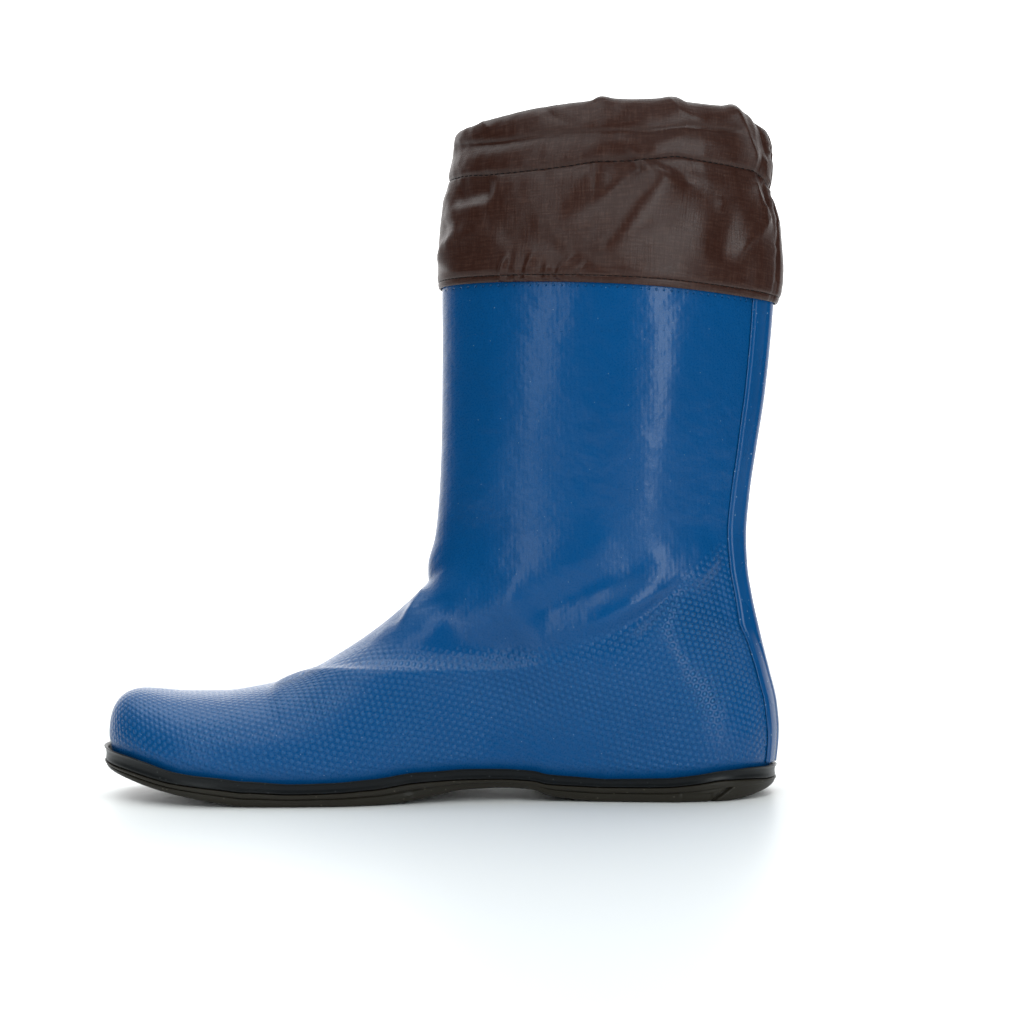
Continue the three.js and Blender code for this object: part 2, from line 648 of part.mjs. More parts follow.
// Back tape: cut between two forms of the upper, with the lap of the panels standing through it
function hemZ(x) {
  const share = (x - legFront) / legDepth;
  return mix(hemFront, hemBack, Math.min(Math.max(share, 0), 1));
}
function fullForm(distance) {
  const rings = [];
  for (let k = 0; k <= footRows; k += 1) {
    rings.push(ringOf((around) => offsetPoint(upperPoint, around, rowShare(k), distance)));
  }
  return toSolid(fromRings(rings, false));
}
const tapeRows = 14;
const stripPast = 10; // how far the cutting strip reaches behind the heel
function stripAcross(share, low, high) {
  const outline = new THREE.Shape();
  const half = (z) => (share * tapeBreadth * tapeWidth(z / legHeight)) / 2;
  const heights = Array.from({ length: tapeRows + 1 }, (_, k) => mix(low, high, k / tapeRows));
  outline.moveTo(-half(low), low);
  heights.slice(1).forEach((z) => outline.lineTo(-half(z), z));
  heights.reverse().forEach((z) => outline.lineTo(half(z), z));
  const depth = 0.3 * bootLength;
  const strip = new THREE.ExtrudeGeometry(outline, { depth, bevelEnabled: false });
  strip.rotateX(Math.PI / 2).rotateZ(Math.PI / 2);
  strip.computeBoundingBox();
  const { min, max } = strip.boundingBox;
  strip.translate(heelBulge + stripPast - max.x, 0, low - min.z);
  return toSolid(strip);
}
function tapeGeometry() {
  const behind = [0, 0.02, 0.04, 0.06].map((share) => heelBulge - share * bootLength);
  const low = Math.max(...behind.map(lipZ)) + seatGap;
  const high = hemZ(heelBulge) + tapeUnder;
  const inner = fullForm(seatGap);
  const lap = fullForm(seatGap + tapeThickness + lapHeight)
    .intersect(stripAcross(lapBreadth / tapeBreadth, low, high));
  const flat = fullForm(seatGap + tapeThickness).intersect(stripAcross(1, low, high));
  return toGeometry(flat.add(lap).subtract(inner));
}

// Cuff: a cloth sleeve over the top of the leg, drawn in by a casing at its top
const cuffHeight = (around, up) => {
  const x = pointAlong(cuffRow(0, sideOf(around)), fromBack(around)).x;
  const share = (x - legFront) / legDepth;
  return mix(hemZ(x), cuffTop - rimDrop * rim(Math.min(Math.max(share, 0), 1)), up);
};
function cuffRow(up, side) {
  const key = side * (10 + up);
  if (rowCache.has(key)) return rowCache.get(key);
  const z = mix(hemFront, cuffTop, up) / legHeight;
  const fore = legFront + legDepth * (leg.front(z) + cuff.front(up));
  const rear = heelBulge + legDepth * (leg.back(z) - cuff.back(up));
  const points = [];
  for (let i = 0; i <= rowSteps; i += 1) {
    const eased = (1 - Math.cos((Math.PI * i) / rowSteps)) / 2;
    const share = Math.cos(Math.PI * eased);
    const pinch = share > 0 ? mix(legPinchBack, cuffPinchBack, smooth(0.1, 0.8, up)) : legPinchFront;
    const wide = legBreadth * (leg.breadth(z) + cuff.breadth(up)) * Math.sqrt(1 - share ** 2);
    const half = wide * (1 - pinch * share ** 2);
    points.push(new THREE.Vector3((rear + fore + share * (rear - fore)) / 2, side * half, 0));
  }
  const row = { points, effort: spreadRow(points, side) };
  rowCache.set(key, row);
  return row;
}
function cuffCore(around, up) {
  const point = pointAlong(cuffRow(up, sideOf(around)), fromBack(around));
  point.z = cuffHeight(around, up);
  return point;
}
function cuffPoint(around, up, outward) {
  const phase = Math.cos(2 * Math.PI * gathers * around);
  const fold = gatherDepth * phase * smooth(0.55, 0.8, up) * (1 - 0.5 * fromBack(around));
  const { y } = cuffCore(around, up);
  const beside = smooth(tapeBreadth / 2, 0.75 * tapeBreadth, Math.abs(y));
  const overTape = fromBack(around) < 0.5 ? (tapeThickness + lapHeight) * (1 - beside) * (1 - smooth(0.1, 0.5, up)) : 0;
  return offsetPoint(cuffCore, around, up, outward + overTape + hemDepth * cuff.bulge(up) + fold);
}
function cuffGeometry() {
  const stitch = 1 - casingHeight / (cuffTop - hemFront);
  const rows = [];
  for (let k = 0; k <= cuffRows; k += 1) rows.push(mix(0, stitch, k / cuffRows));
  for (let k = 1; k <= cuffRows; k += 1) rows.push(mix(stitch, 1, k / cuffRows));
  const wall = (up) => {
    const hem = hemTurn * (1 - smooth(0.09, 0.1, up));
    return clothWall + hem + (casingWall - clothWall) * smooth(stitch, stitch + 0.1, up);
  };
  const inner = rows.map((up) => ringOf((around) => cuffPoint(around, up, seatGap)));
  const outer = rows.map((up) => ringOf((around) => cuffPoint(around, up, seatGap + wall(up))));
  return fromRings([...outer, ...inner.reverse()], true);
}

// Finishes, as seen
const finishes = {
  embossedRubber: { color: 0x1a4f8f, roughness: 0.42 },
  tapeRubber: { color: 0x194b88, roughness: 0.36 },
  foxingRubber: { color: 0x1c2226, roughness: 0.5 },
  treadRubber: { color: 0x38352f, roughness: 0.65 },
  cuffNylon: { color: 0x3b2a27, roughness: 0.45 },
  insoleKnit: { color: 0x2d2c2e, roughness: 0.9 },
};
function piece(name, geometry, finish) {
  geometry.computeVertexNormals();
  const mesh = new THREE.Mesh(geometry, new THREE.MeshStandardMaterial(finishes[finish]));
  mesh.name = name;
  return mesh;
}

const pieces = [
  piece("upper", upperGeometry(), "embossedRubber"),
  piece("back_tape", tapeGeometry(), "tapeRubber"),
  piece("cuff", cuffGeometry(), "cuffNylon"),
  piece("foxing", foxingGeometry(), "foxingRubber"),
  piece("outsole", outsoleGeometry(), "treadRubber"),
  piece("insole", insoleGeometry(), "insoleKnit"),
];

// The origin: the middle of the whole boot's box, on the floor
const whole = new THREE.Box3();
pieces.forEach((mesh) => whole.expandByObject(mesh));
const middle = whole.getCenter(new THREE.Vector3());
pieces.forEach((mesh) => mesh.geometry.translate(-middle.x, -middle.y, -whole.min.z));

const boot = new THREE.Group();
boot.add(...pieces);

export default boot;
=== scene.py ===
# A folding rubber boot for the right foot: embossed blue rubber with a taped back seam, a cloth cuff with a
# drawn casing, black foxing and a brown tread. Shapes are worked out in millimetres in the boot's own frame
# (toe towards -X, inner side towards -Y and the camera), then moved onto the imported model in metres.
import math

import bpy
import numpy as np
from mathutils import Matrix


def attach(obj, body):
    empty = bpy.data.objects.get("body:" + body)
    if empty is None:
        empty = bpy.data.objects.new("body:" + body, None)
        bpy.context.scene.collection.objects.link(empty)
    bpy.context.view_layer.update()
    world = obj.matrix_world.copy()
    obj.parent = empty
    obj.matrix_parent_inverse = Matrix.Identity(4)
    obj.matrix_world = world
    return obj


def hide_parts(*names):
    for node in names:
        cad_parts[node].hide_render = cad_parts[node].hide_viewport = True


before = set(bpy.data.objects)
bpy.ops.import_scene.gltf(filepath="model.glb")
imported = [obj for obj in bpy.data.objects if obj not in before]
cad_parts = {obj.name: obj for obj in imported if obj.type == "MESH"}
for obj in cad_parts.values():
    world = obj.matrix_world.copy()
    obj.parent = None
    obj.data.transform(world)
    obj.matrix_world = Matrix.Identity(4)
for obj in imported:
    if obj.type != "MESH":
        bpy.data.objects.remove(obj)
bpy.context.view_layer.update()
print("boot: frame loaded")

modelShift = np.array([2.2703, 0.1937, 0.0])  # from the boot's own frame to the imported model's, in mm


cameraView = {
    "place": (0.02613, -0.75519, 0.1113),
    "lens": 66.26,  # mm, on a 36 mm sensor
}


def addCamera():
    data = bpy.data.cameras.new("photoCamera")
    data.lens = cameraView["lens"]
    data.sensor_width = 36
    data.clip_start = 0.01
    camera = bpy.data.objects.new("photoCamera", data)
    camera.location = cameraView["place"]
    camera.rotation_euler = (math.radians(90), 0, 0)  # level, looking along +Y
    bpy.context.scene.collection.objects.link(camera)
    bpy.context.scene.camera = camera


addCamera()

last = {
    "bootLength": 270,
    "ballBreadth": 93,
    "instepHeight": 86,
    "heelBulge": 133.6,
    "legHeight": 208,
    "legDepth": 131,
    "legBreadth": 88,
    "legFront": 0.4,
    "toeSpring": 13,
    "archRise": 5.5,
    "heelSpring": 4.2,
    "outsoleThickness": 7,
    "foxingHeight": 4.6,
    "foxingFloor": 1.2,
    "seatGap": 0.3,
    "featherGap": 0.7,
    "toeLip": 4.6,
    "capLength": 13.5,  # the toe's round front in side view
    "capPower": 2.6,
    "wideRise": 3.2,
    "toeRound": 51.3,
    "toePower": 2.15,
    "heelRound": 40.5,
    "heelPower": 1.95,
    "domePower": 2.35,
    "blendPower": 4,
    "bend": 13,
}
footTable = {
    "at": [0, 0.045, 0.11, 0.16, 0.22, 0.28, 0.34, 0.4, 0.46, 0.52, 0.6, 0.7, 0.82, 0.92, 1],
    "inner": [0.37, 0.385, 0.41, 0.43, 0.453, 0.47, 0.472, 0.446, 0.4, 0.358, 0.333, 0.337, 0.358, 0.362, 0.36],
    "outer": [0.37, 0.39, 0.427, 0.453, 0.477, 0.492, 0.501, 0.498, 0.474, 0.44, 0.405, 0.375, 0.368, 0.366, 0.36],
    "middle": [-0.09, -0.083, -0.068, -0.054, -0.036, -0.021, -0.01, -0.003, 0, 0, 0, 0, 0, 0, 0],
    "top": [0.482, 0.483, 0.467, 0.464, 0.488, 0.54, 0.64, 0.765, 0.925, 1.11, 1.21, 1.16, 0.98, 0.82, 0.7],
}
legTable = {
    "at": [0.03, 0.07, 0.12, 0.17, 0.23, 0.3, 0.38, 0.43, 0.49, 0.57, 0.66, 0.76, 0.88, 1],
    "front": [0.3, 0.23, 0.16, 0.1, 0.05, 0, -0.04, -0.044, -0.022, -0.009, -0.002, 0, 0, 0],
    "back": [-0.018, -0.006, 0, -0.006, -0.027, -0.054, -0.082, -0.094, -0.098, -0.088, -0.067, -0.042, -0.022, -0.008],
    "breadth": [0.06, 0.14, 0.22, 0.29, 0.35, 0.385, 0.405, 0.41, 0.415, 0.43, 0.452, 0.475, 0.492, 0.5],
}
soleTable = {
    "at": [0, 0.03, 0.06, 0.09, 0.12, 0.16, 0.2, 0.235, 0.3, 0.36, 0.41, 0.46, 0.5, 0.54, 0.59, 0.635, 0.655, 0.7,
           0.74, 0.82, 0.863, 0.91, 0.945, 0.975, 1],
    "toe": [1, 0.83, 0.67, 0.51, 0.37, 0.22, 0.09] + [0] * 18,
    "arch": [0] * 11 + [0.2, 0.52, 0.86, 0.93, 0.82, 0.45, 0.13] + [0] * 7,
    "heel": [0] * 22 + [0.22, 0.62, 1],
    "thick": [0.3, 0.39, 0.5, 0.55, 0.57, 0.66, 0.75, 0.78, 0.69, 0.74, 0.86, 0.95, 0.79, 0.57, 0.51, 0.49, 0.61,
              0.76, 0.8, 0.82, 0.96, 1.15, 0.98, 0.6, 0.29],
    "foxing": [1.08, 1.16, 1.18, 1.16, 1.02, 0.92, 0.94, 0.92, 0.84, 0.85, 0.87, 0.87, 0.81, 0.86, 0.84, 0.84, 0.82,
               0.76, 0.7, 0.76, 0.77, 0.8, 0.95, 1.05, 0.98],
    "step": [0.6] + [1] * 10 + [0.9, 0.2, 0, 0, 0, 0.6, 1, 1, 1, 0.8, 0, 0, 0, 0],
}


def mix(a, b, share):
    return a + (b - a) * share


def smooth(low, high, x):
    t = np.clip((np.asarray(x, float) - low) / (high - low), 0, 1)
    return t * t * (3 - 2 * t)


# A curve through a table's column: cubic pieces whose slopes are harmonic means, so it never overshoots
def curveOf(table, column):
    at, value = np.array(table["at"], float), np.array(table[column], float)
    step, slope = np.diff(at), np.zeros(len(at))
    rise = np.diff(value) / step
    slope[0], slope[-1] = rise[0], rise[-1]
    before, after = 2 * step[1:] + step[:-1], step[1:] + 2 * step[:-1]
    same = rise[:-1] * rise[1:] > 0
    slope[1:-1][same] = ((before + after)[same]) / (before[same] / rise[:-1][same] + after[same] / rise[1:][same])

    def evaluate(x):
        x = np.clip(x, at[0], at[-1])
        i = np.clip(np.searchsorted(at, x, side="right") - 1, 0, len(step) - 1)
        t = (x - at[i]) / step[i]
        start = value[i] * (1 + 2 * t) * (1 - t) ** 2 + slope[i] * step[i] * t * (1 - t) ** 2
        return start + value[i + 1] * t * t * (3 - 2 * t) - slope[i + 1] * step[i] * t * t * (1 - t)

    return evaluate


foot = {name: curveOf(footTable, name) for name in ("inner", "outer", "middle", "top")}
leg = {name: curveOf(legTable, name) for name in ("front", "back", "breadth")}
sole = {name: curveOf(soleTable, name) for name in ("toe", "arch", "heel", "thick", "foxing", "step")}
toeEnd = -last["bootLength"] / 2 + last["toeLip"]


def alongFoot(x):
    return (x - toeEnd) / (last["heelBulge"] - toeEnd)


def alongSole(x):
    return x / last["bootLength"] + 0.5


def bottomZ(x):
    at = alongSole(x)
    return last["toeSpring"] * sole["toe"](at) + last["archRise"] * sole["arch"](at) + last["heelSpring"] * sole["heel"](at)


def partingZ(x):
    return bottomZ(x) + last["outsoleThickness"] * sole["thick"](alongSole(x))


def lipZ(x):
    return partingZ(x) + last["seatGap"] + last["foxingHeight"] * sole["foxing"](alongSole(x))


def floorZ(x):
    return partingZ(x) + last["seatGap"] + last["foxingFloor"]


def featherZ(x):
    return floorZ(x) + last["featherGap"]


# 0 at a rounded end, 1 from reach inwards, as a superellipse
def roundEnd(distance, reach, power):
    left = 1 - np.clip(distance / reach, 0, 1)
    return (1 - left**power) ** (1 / power)


def wideZ(x):
    return lipZ(x) + last["wideRise"]


def footTopZ(x):
    full = last["instepHeight"] * foot["top"](alongFoot(x))
    base = wideZ(toeEnd)
    return base + (full - base) * roundEnd(x - toeEnd, last["capLength"], last["capPower"])


def frontX(z):
    return last["legFront"] + last["legDepth"] * leg["front"](z / last["legHeight"])


def backX(z):
    return last["heelBulge"] + last["legDepth"] * leg["back"](z / last["legHeight"])


def middleY(x):
    return last["ballBreadth"] * foot["middle"](alongFoot(x))


# Half breadth of the foot's outline: the table's breadth, rounded at toe and heel. side is -1 inner, 1 outer.
def outlineHalf(x, side, heelX):
    at = alongFoot(x)
    wide = last["ballBreadth"] * np.where(side < 0, foot["inner"](at), foot["outer"](at))
    toe = roundEnd(x - toeEnd, last["toeRound"], last["toePower"])
    return wide * toe * roundEnd(heelX - x, last["heelRound"], last["heelPower"])


# Half breadth of the upper: a superelliptic dome over the foot's outline, an oval leg pinched towards its back,
# and their fourth-power blend
def upperHalf(x, z, side):
    top = footTopZ(x)
    low = np.minimum(wideZ(x), top)
    up = np.clip((z - low) / np.maximum(top - low, 1e-6), 0, 1)
    dome = (1 - up ** last["domePower"]) ** (1 / last["domePower"])
    dome = np.where(top > low, dome, 1.0)
    overFoot = outlineHalf(x, side, backX(z)) * dome
    front, back = frontX(z), backX(z)
    share = np.clip((2 * x - front - back) / (back - front), -1, 1)
    pinch = np.where(share > 0, 0.5, 0.1)
    inLeg = last["legBreadth"] * leg["breadth"](z / last["legHeight"]) * np.sqrt(1 - share**2) * (1 - pinch * share**2)
    return (overFoot ** last["blendPower"] + inLeg ** last["blendPower"]) ** (1 / last["blendPower"])


# The front outline: up the toe, over the instep to where it meets the leg, then up the leg
def frontOutline():
    xs = np.arange(toeEnd, 60, 0.1)
    tops = footTopZ(xs)
    meets = np.argmax((tops >= 0.35 * last["legHeight"]) & (xs >= frontX(tops)))
    x = mix(toeEnd, xs[meets], np.linspace(0, 1, 400) ** 3)
    z = np.linspace(tops[meets], last["legHeight"], 120)[1:]
    line = np.concatenate([[[toeEnd, featherZ(toeEnd)]], np.stack([x, footTopZ(x)], 1), np.stack([frontX(z), z], 1)])
    reach = np.concatenate([[0], np.cumsum(np.linalg.norm(np.diff(line, axis=0), axis=1))])
    return line, reach / reach[-1]


frontPoints, frontReach = frontOutline()


def frontAt(share):
    return np.stack([np.interp(share, frontReach, frontPoints[:, i]) for i in (0, 1)], -1)


# Rows of the upper at shares up of the front line's length, traced from the back line to the front line over
# one side: low rows follow the sole, the next bend down from the ridge, and the leg's are straight
def traceRows(up, side):
    heel = featherZ(last["heelBulge"])
    a, bz = frontAt(up), mix(heel, last["legHeight"], up)
    bx = backX(bz)
    ahead = frontAt(np.minimum(up + 2e-3, 1)) - frontAt(np.maximum(up - 2e-3, 0))
    ahead /= np.linalg.norm(ahead, axis=1, keepdims=True)
    reach = last["bend"] * (1 - smooth(0.38, 0.6, up))
    turn = np.stack([a[:, 0] + ahead[:, 1] * reach, a[:, 1] - ahead[:, 0] * reach], 1)
    eased = (1 - np.cos(np.linspace(0, np.pi, 301))) / 2
    s = ((1 - np.cos(np.pi * eased)) / 2)[None]
    p, q, r = (1 - s) ** 2, 2 * s * (1 - s), s * s
    x = p * bx[:, None] + q * turn[:, :1] + r * a[:, :1]
    low = featherZ(x) + mix((bz - featherZ(bx))[:, None], (a[:, 1] - featherZ(a[:, 0]))[:, None], s)
    z = mix(low, p * bz[:, None] + q * turn[:, 1:] + r * a[:, 1:], smooth(0, 0.16, up)[:, None])
    half = upperHalf(x, z, side)
    half[:, [0, -1]] = 0
    outside = half <= 1e-9  # past the outline, so drawn back to the row's end
    x = np.where(outside, np.where(s < 0.5, bx[:, None], a[:, :1]), x)
    z = np.where(outside, np.where(s < 0.5, bz[:, None], a[:, 1:]), z)
    return np.stack([x, middleY(x) + side * half, z], -1)


# Points at given shares of effort along each row, where effort is length plus turning, so that points stand
# closer in the turns
def spreadRows(path, shares, turning=0.5):
    step = np.diff(path, axis=1)
    size = np.linalg.norm(step, axis=2)
    way = step / np.maximum(size, 1e-9)[..., None]
    turn = np.arccos(np.clip((way[:, 1:] * way[:, :-1]).sum(2), -1, 1))
    turn[(size[:, 1:] < 1e-6) | (size[:, :-1] < 1e-6)] = 0
    cost = size / size.sum(1, keepdims=True)
    cost[:, 1:] += turning * turn / (2 * np.pi)
    cost[:, :-1] += turning * turn / (2 * np.pi)
    effort = np.concatenate([np.zeros((len(path), 1)), np.cumsum(cost, 1)], 1)
    row = 2 * np.arange(len(path))[:, None]
    known, wanted = (effort / effort[:, -1:] + row).ravel(), (np.asarray(shares)[None] + row).ravel()
    flat = [np.interp(wanted, known, path[..., i].ravel()) for i in range(3)]
    return np.stack(flat, -1).reshape(len(path), len(shares), 3)


# Rings of points round the boot, from the back over the inner side to the front and back over the outer side
def closeRing(near, far):
    return np.concatenate([near, far[:, -2:0:-1]], axis=1)


def ringNormals(rings):
    around = np.roll(rings, -1, 1) - np.roll(rings, 1, 1)
    out = np.cross(np.gradient(rings, axis=0), around)
    return out / np.maximum(np.linalg.norm(out, axis=2, keepdims=True), 1e-9)


# A smooth line through points, as a Catmull-Rom curve
def smoothLine(points, count=40):
    p = np.array(points, float)
    if len(p) == 2:
        return mix(p[0], p[1], np.linspace(0, 1, count)[:, None])
    ends = np.concatenate([[2 * p[0] - p[1]], p, [2 * p[-1] - p[-2]]])
    t = np.linspace(0, len(p) - 1 - 1e-9, count)
    i = t.astype(int)
    f = (t - i)[:, None]
    a, b, c, d = ends[i], ends[i + 1], ends[i + 2], ends[i + 3]
    return 0.5 * (2 * b + (c - a) * f + (2 * a - 5 * b + 4 * c - d) * f**2 + (3 * b - a - 3 * c + d) * f**3)


# Height of a fold over its line in the side view: a bell across the line, with its own width on each side
# (left of the line's way first), fading at both ends. crisp below 2 sharpens the fold's top into an edge.
def foldHeight(x, z, fold):
    line = smoothLine(fold["line"])
    start, span = line[:-1], np.diff(line, axis=0)
    long = (span**2).sum(1)
    place = np.stack([x.ravel(), z.ravel()], 1)
    reach = 3 * max(fold["wide"])
    near = ((place > line.min(0) - reach) & (place < line.max(0) + reach)).all(1)
    height = np.zeros(len(place))
    if not near.any():
        return height.reshape(x.shape)
    away = place[near][:, None] - start[None]
    share = np.clip((away * span).sum(2) / long, 0, 1)
    away -= share[..., None] * span
    distance = np.hypot(away[..., 0], away[..., 1])
    best = distance.argmin(1)
    pick = np.arange(len(best))
    along = (best + share[pick, best]) / len(span)
    left = span[best, 0] * away[pick, best, 1] - span[best, 1] * away[pick, best, 0] > 0
    width = np.where(left, fold["wide"][0], fold["wide"][1])
    startFade, endFade = fold.get("fade", (0.25, 0.25))
    window = smooth(0, startFade, along) * smooth(0, endFade, 1 - along)
    height[near] = fold["rise"] * np.exp(-((distance[pick, best] / width) ** fold.get("crisp", 2))) * window
    return height.reshape(x.shape)


# Gentle unevenness: a few waves of seeded direction and phase over two coordinates in mm
def unevenness(u, v, wavelength, seed, waves=7):
    chance = np.random.default_rng(seed)
    total = np.zeros_like(u)
    for _ in range(waves):
        turn, size = chance.uniform(0, np.pi), wavelength * chance.uniform(0.7, 1.5)
        total += np.cos(2 * np.pi * (u * np.cos(turn) + v * np.sin(turn)) / size + chance.uniform(0, 2 * np.pi))
    return total / waves


def toModel(points):
    return (np.asarray(points, float).reshape(-1, 3) - modelShift) / 1000


# A mesh from points in mm and one or more arrays of faces, turned right side out by its volume, with uv in mm
# for each corner and values for each point
def addMesh(name, points, faces, material, uv=None, values=None, closed=True):
    place = toModel(points)
    groups = [np.asarray(f) for f in (faces if isinstance(faces, list) else [faces])]
    if closed:
        volume = 0.0
        for group in groups:
            for k in range(1, group.shape[1] - 1):
                a, b, c = (place[group[:, i]] for i in (0, k, k + 1))
                volume += (a * np.cross(b, c)).sum()
        if volume < 0:
            groups = [group[:, ::-1] for group in groups]
            uv = None if uv is None else uv[:, ::-1]
    mesh = bpy.data.meshes.new(name)
    mesh.vertices.add(len(place))
    mesh.vertices.foreach_set("co", place.ravel())
    sizes = np.concatenate([np.full(len(group), group.shape[1]) for group in groups])
    mesh.loops.add(int(sizes.sum()))
    mesh.loops.foreach_set("vertex_index", np.concatenate([group.ravel() for group in groups]).astype(np.int32))
    mesh.polygons.add(len(sizes))
    mesh.polygons.foreach_set("loop_start", (np.cumsum(sizes) - sizes).astype(np.int32))
    mesh.update(calc_edges=True)
    mesh.polygons.foreach_set("use_smooth", np.ones(len(sizes), bool))
    if uv is not None:
        mesh.uv_layers.new(name="clothMm").data.foreach_set("uv", np.asarray(uv, float).ravel())
    for label, value in (values or {}).items():
        mesh.attributes.new(label, "FLOAT", "POINT").data.foreach_set("value", np.asarray(value, float).ravel())
    mesh.materials.append(material)
    piece = bpy.data.objects.new(name, mesh)
    bpy.context.scene.collection.objects.link(piece)
    return piece


# Faces between rings of equal count. A loop of rings closes on its first ring.
def ringFaces(rings, count, loop):
    k = np.arange(rings if loop else rings - 1)[:, None]
    i = np.arange(count)[None]
    j, n = (i + 1) % count, (k + 1) % rings
    return np.stack([k * count + i, k * count + j, n * count + j, n * count + i], -1).reshape(-1, 4)


# Uv for ringFaces: u runs along the ring and keeps its sign on each side, v up
def ringUv(u, v, nearCount, rings, count, loop):
    k = np.arange(rings if loop else rings - 1)[:, None]
    i = np.arange(count)[None]
    j, n = (i + 1) % count, (k + 1) % rings
    sign = np.where(i < nearCount, 1.0, -1.0)
    corner = lambda a, b: np.stack([np.broadcast_to(sign * u[a, b], (len(k), count)), np.broadcast_to(v[a, b], (len(k), count))], -1)
    return np.stack([corner(k, i), corner(k, j), corner(n, j), corner(n, i)], 2).reshape(-1, 4, 2)


def hexColour(code):
    parts = [int(code[i : i + 2], 16) / 255 for i in (1, 3, 5)]
    return [c / 12.92 if c <= 0.04045 else ((c + 0.055) / 1.055) ** 2.4 for c in parts] + [1.0]


# Adds a node with its settings. A socket given as a value is linked, anything else is set.
def put(tree, kind, sockets=None, **settings):
    node = tree.nodes.new(kind)
    for name, value in settings.items():
        setattr(node, name, value)
    for name, value in (sockets or {}).items():
        if isinstance(value, bpy.types.NodeSocket):
            tree.links.new(value, node.inputs[name])
        else:
            node.inputs[name].default_value = value
    return node


def newMaterial(name):
    material = bpy.data.materials.new(name)
    material.use_nodes = True
    material.node_tree.nodes.clear()
    return material, material.node_tree


# Natural rubber, calendered over a patterned roll: semi-gloss, with a lattice of small raised dots that is
# strong on the foot and pressed nearly flat on the leg, where fine upright ribs show instead
embossing = {
    "colour": "#044e87",
    "deepColour": "#03467c",
    # painted highlight: the colour towards which the raised dots are painted lighter
    "wearAndHighlightColour": "#3a79b0",
    "dustColour": "#a9c3d6",
    "pitch": 2.3,  # mm between rows of dots, which lie in three directions
    "directions": (-45, 15, 75),
    "dotHeight": 0.55,  # mm
    "ribPitch": 1.7,  # mm
    "grain": 0.7,  # mm, the grain of the roll
    "needlePitch": 3.0,  # mm between the needle holes under the cuff's hem
    "roughness": 0.28,
    "specular": 0.21,
}


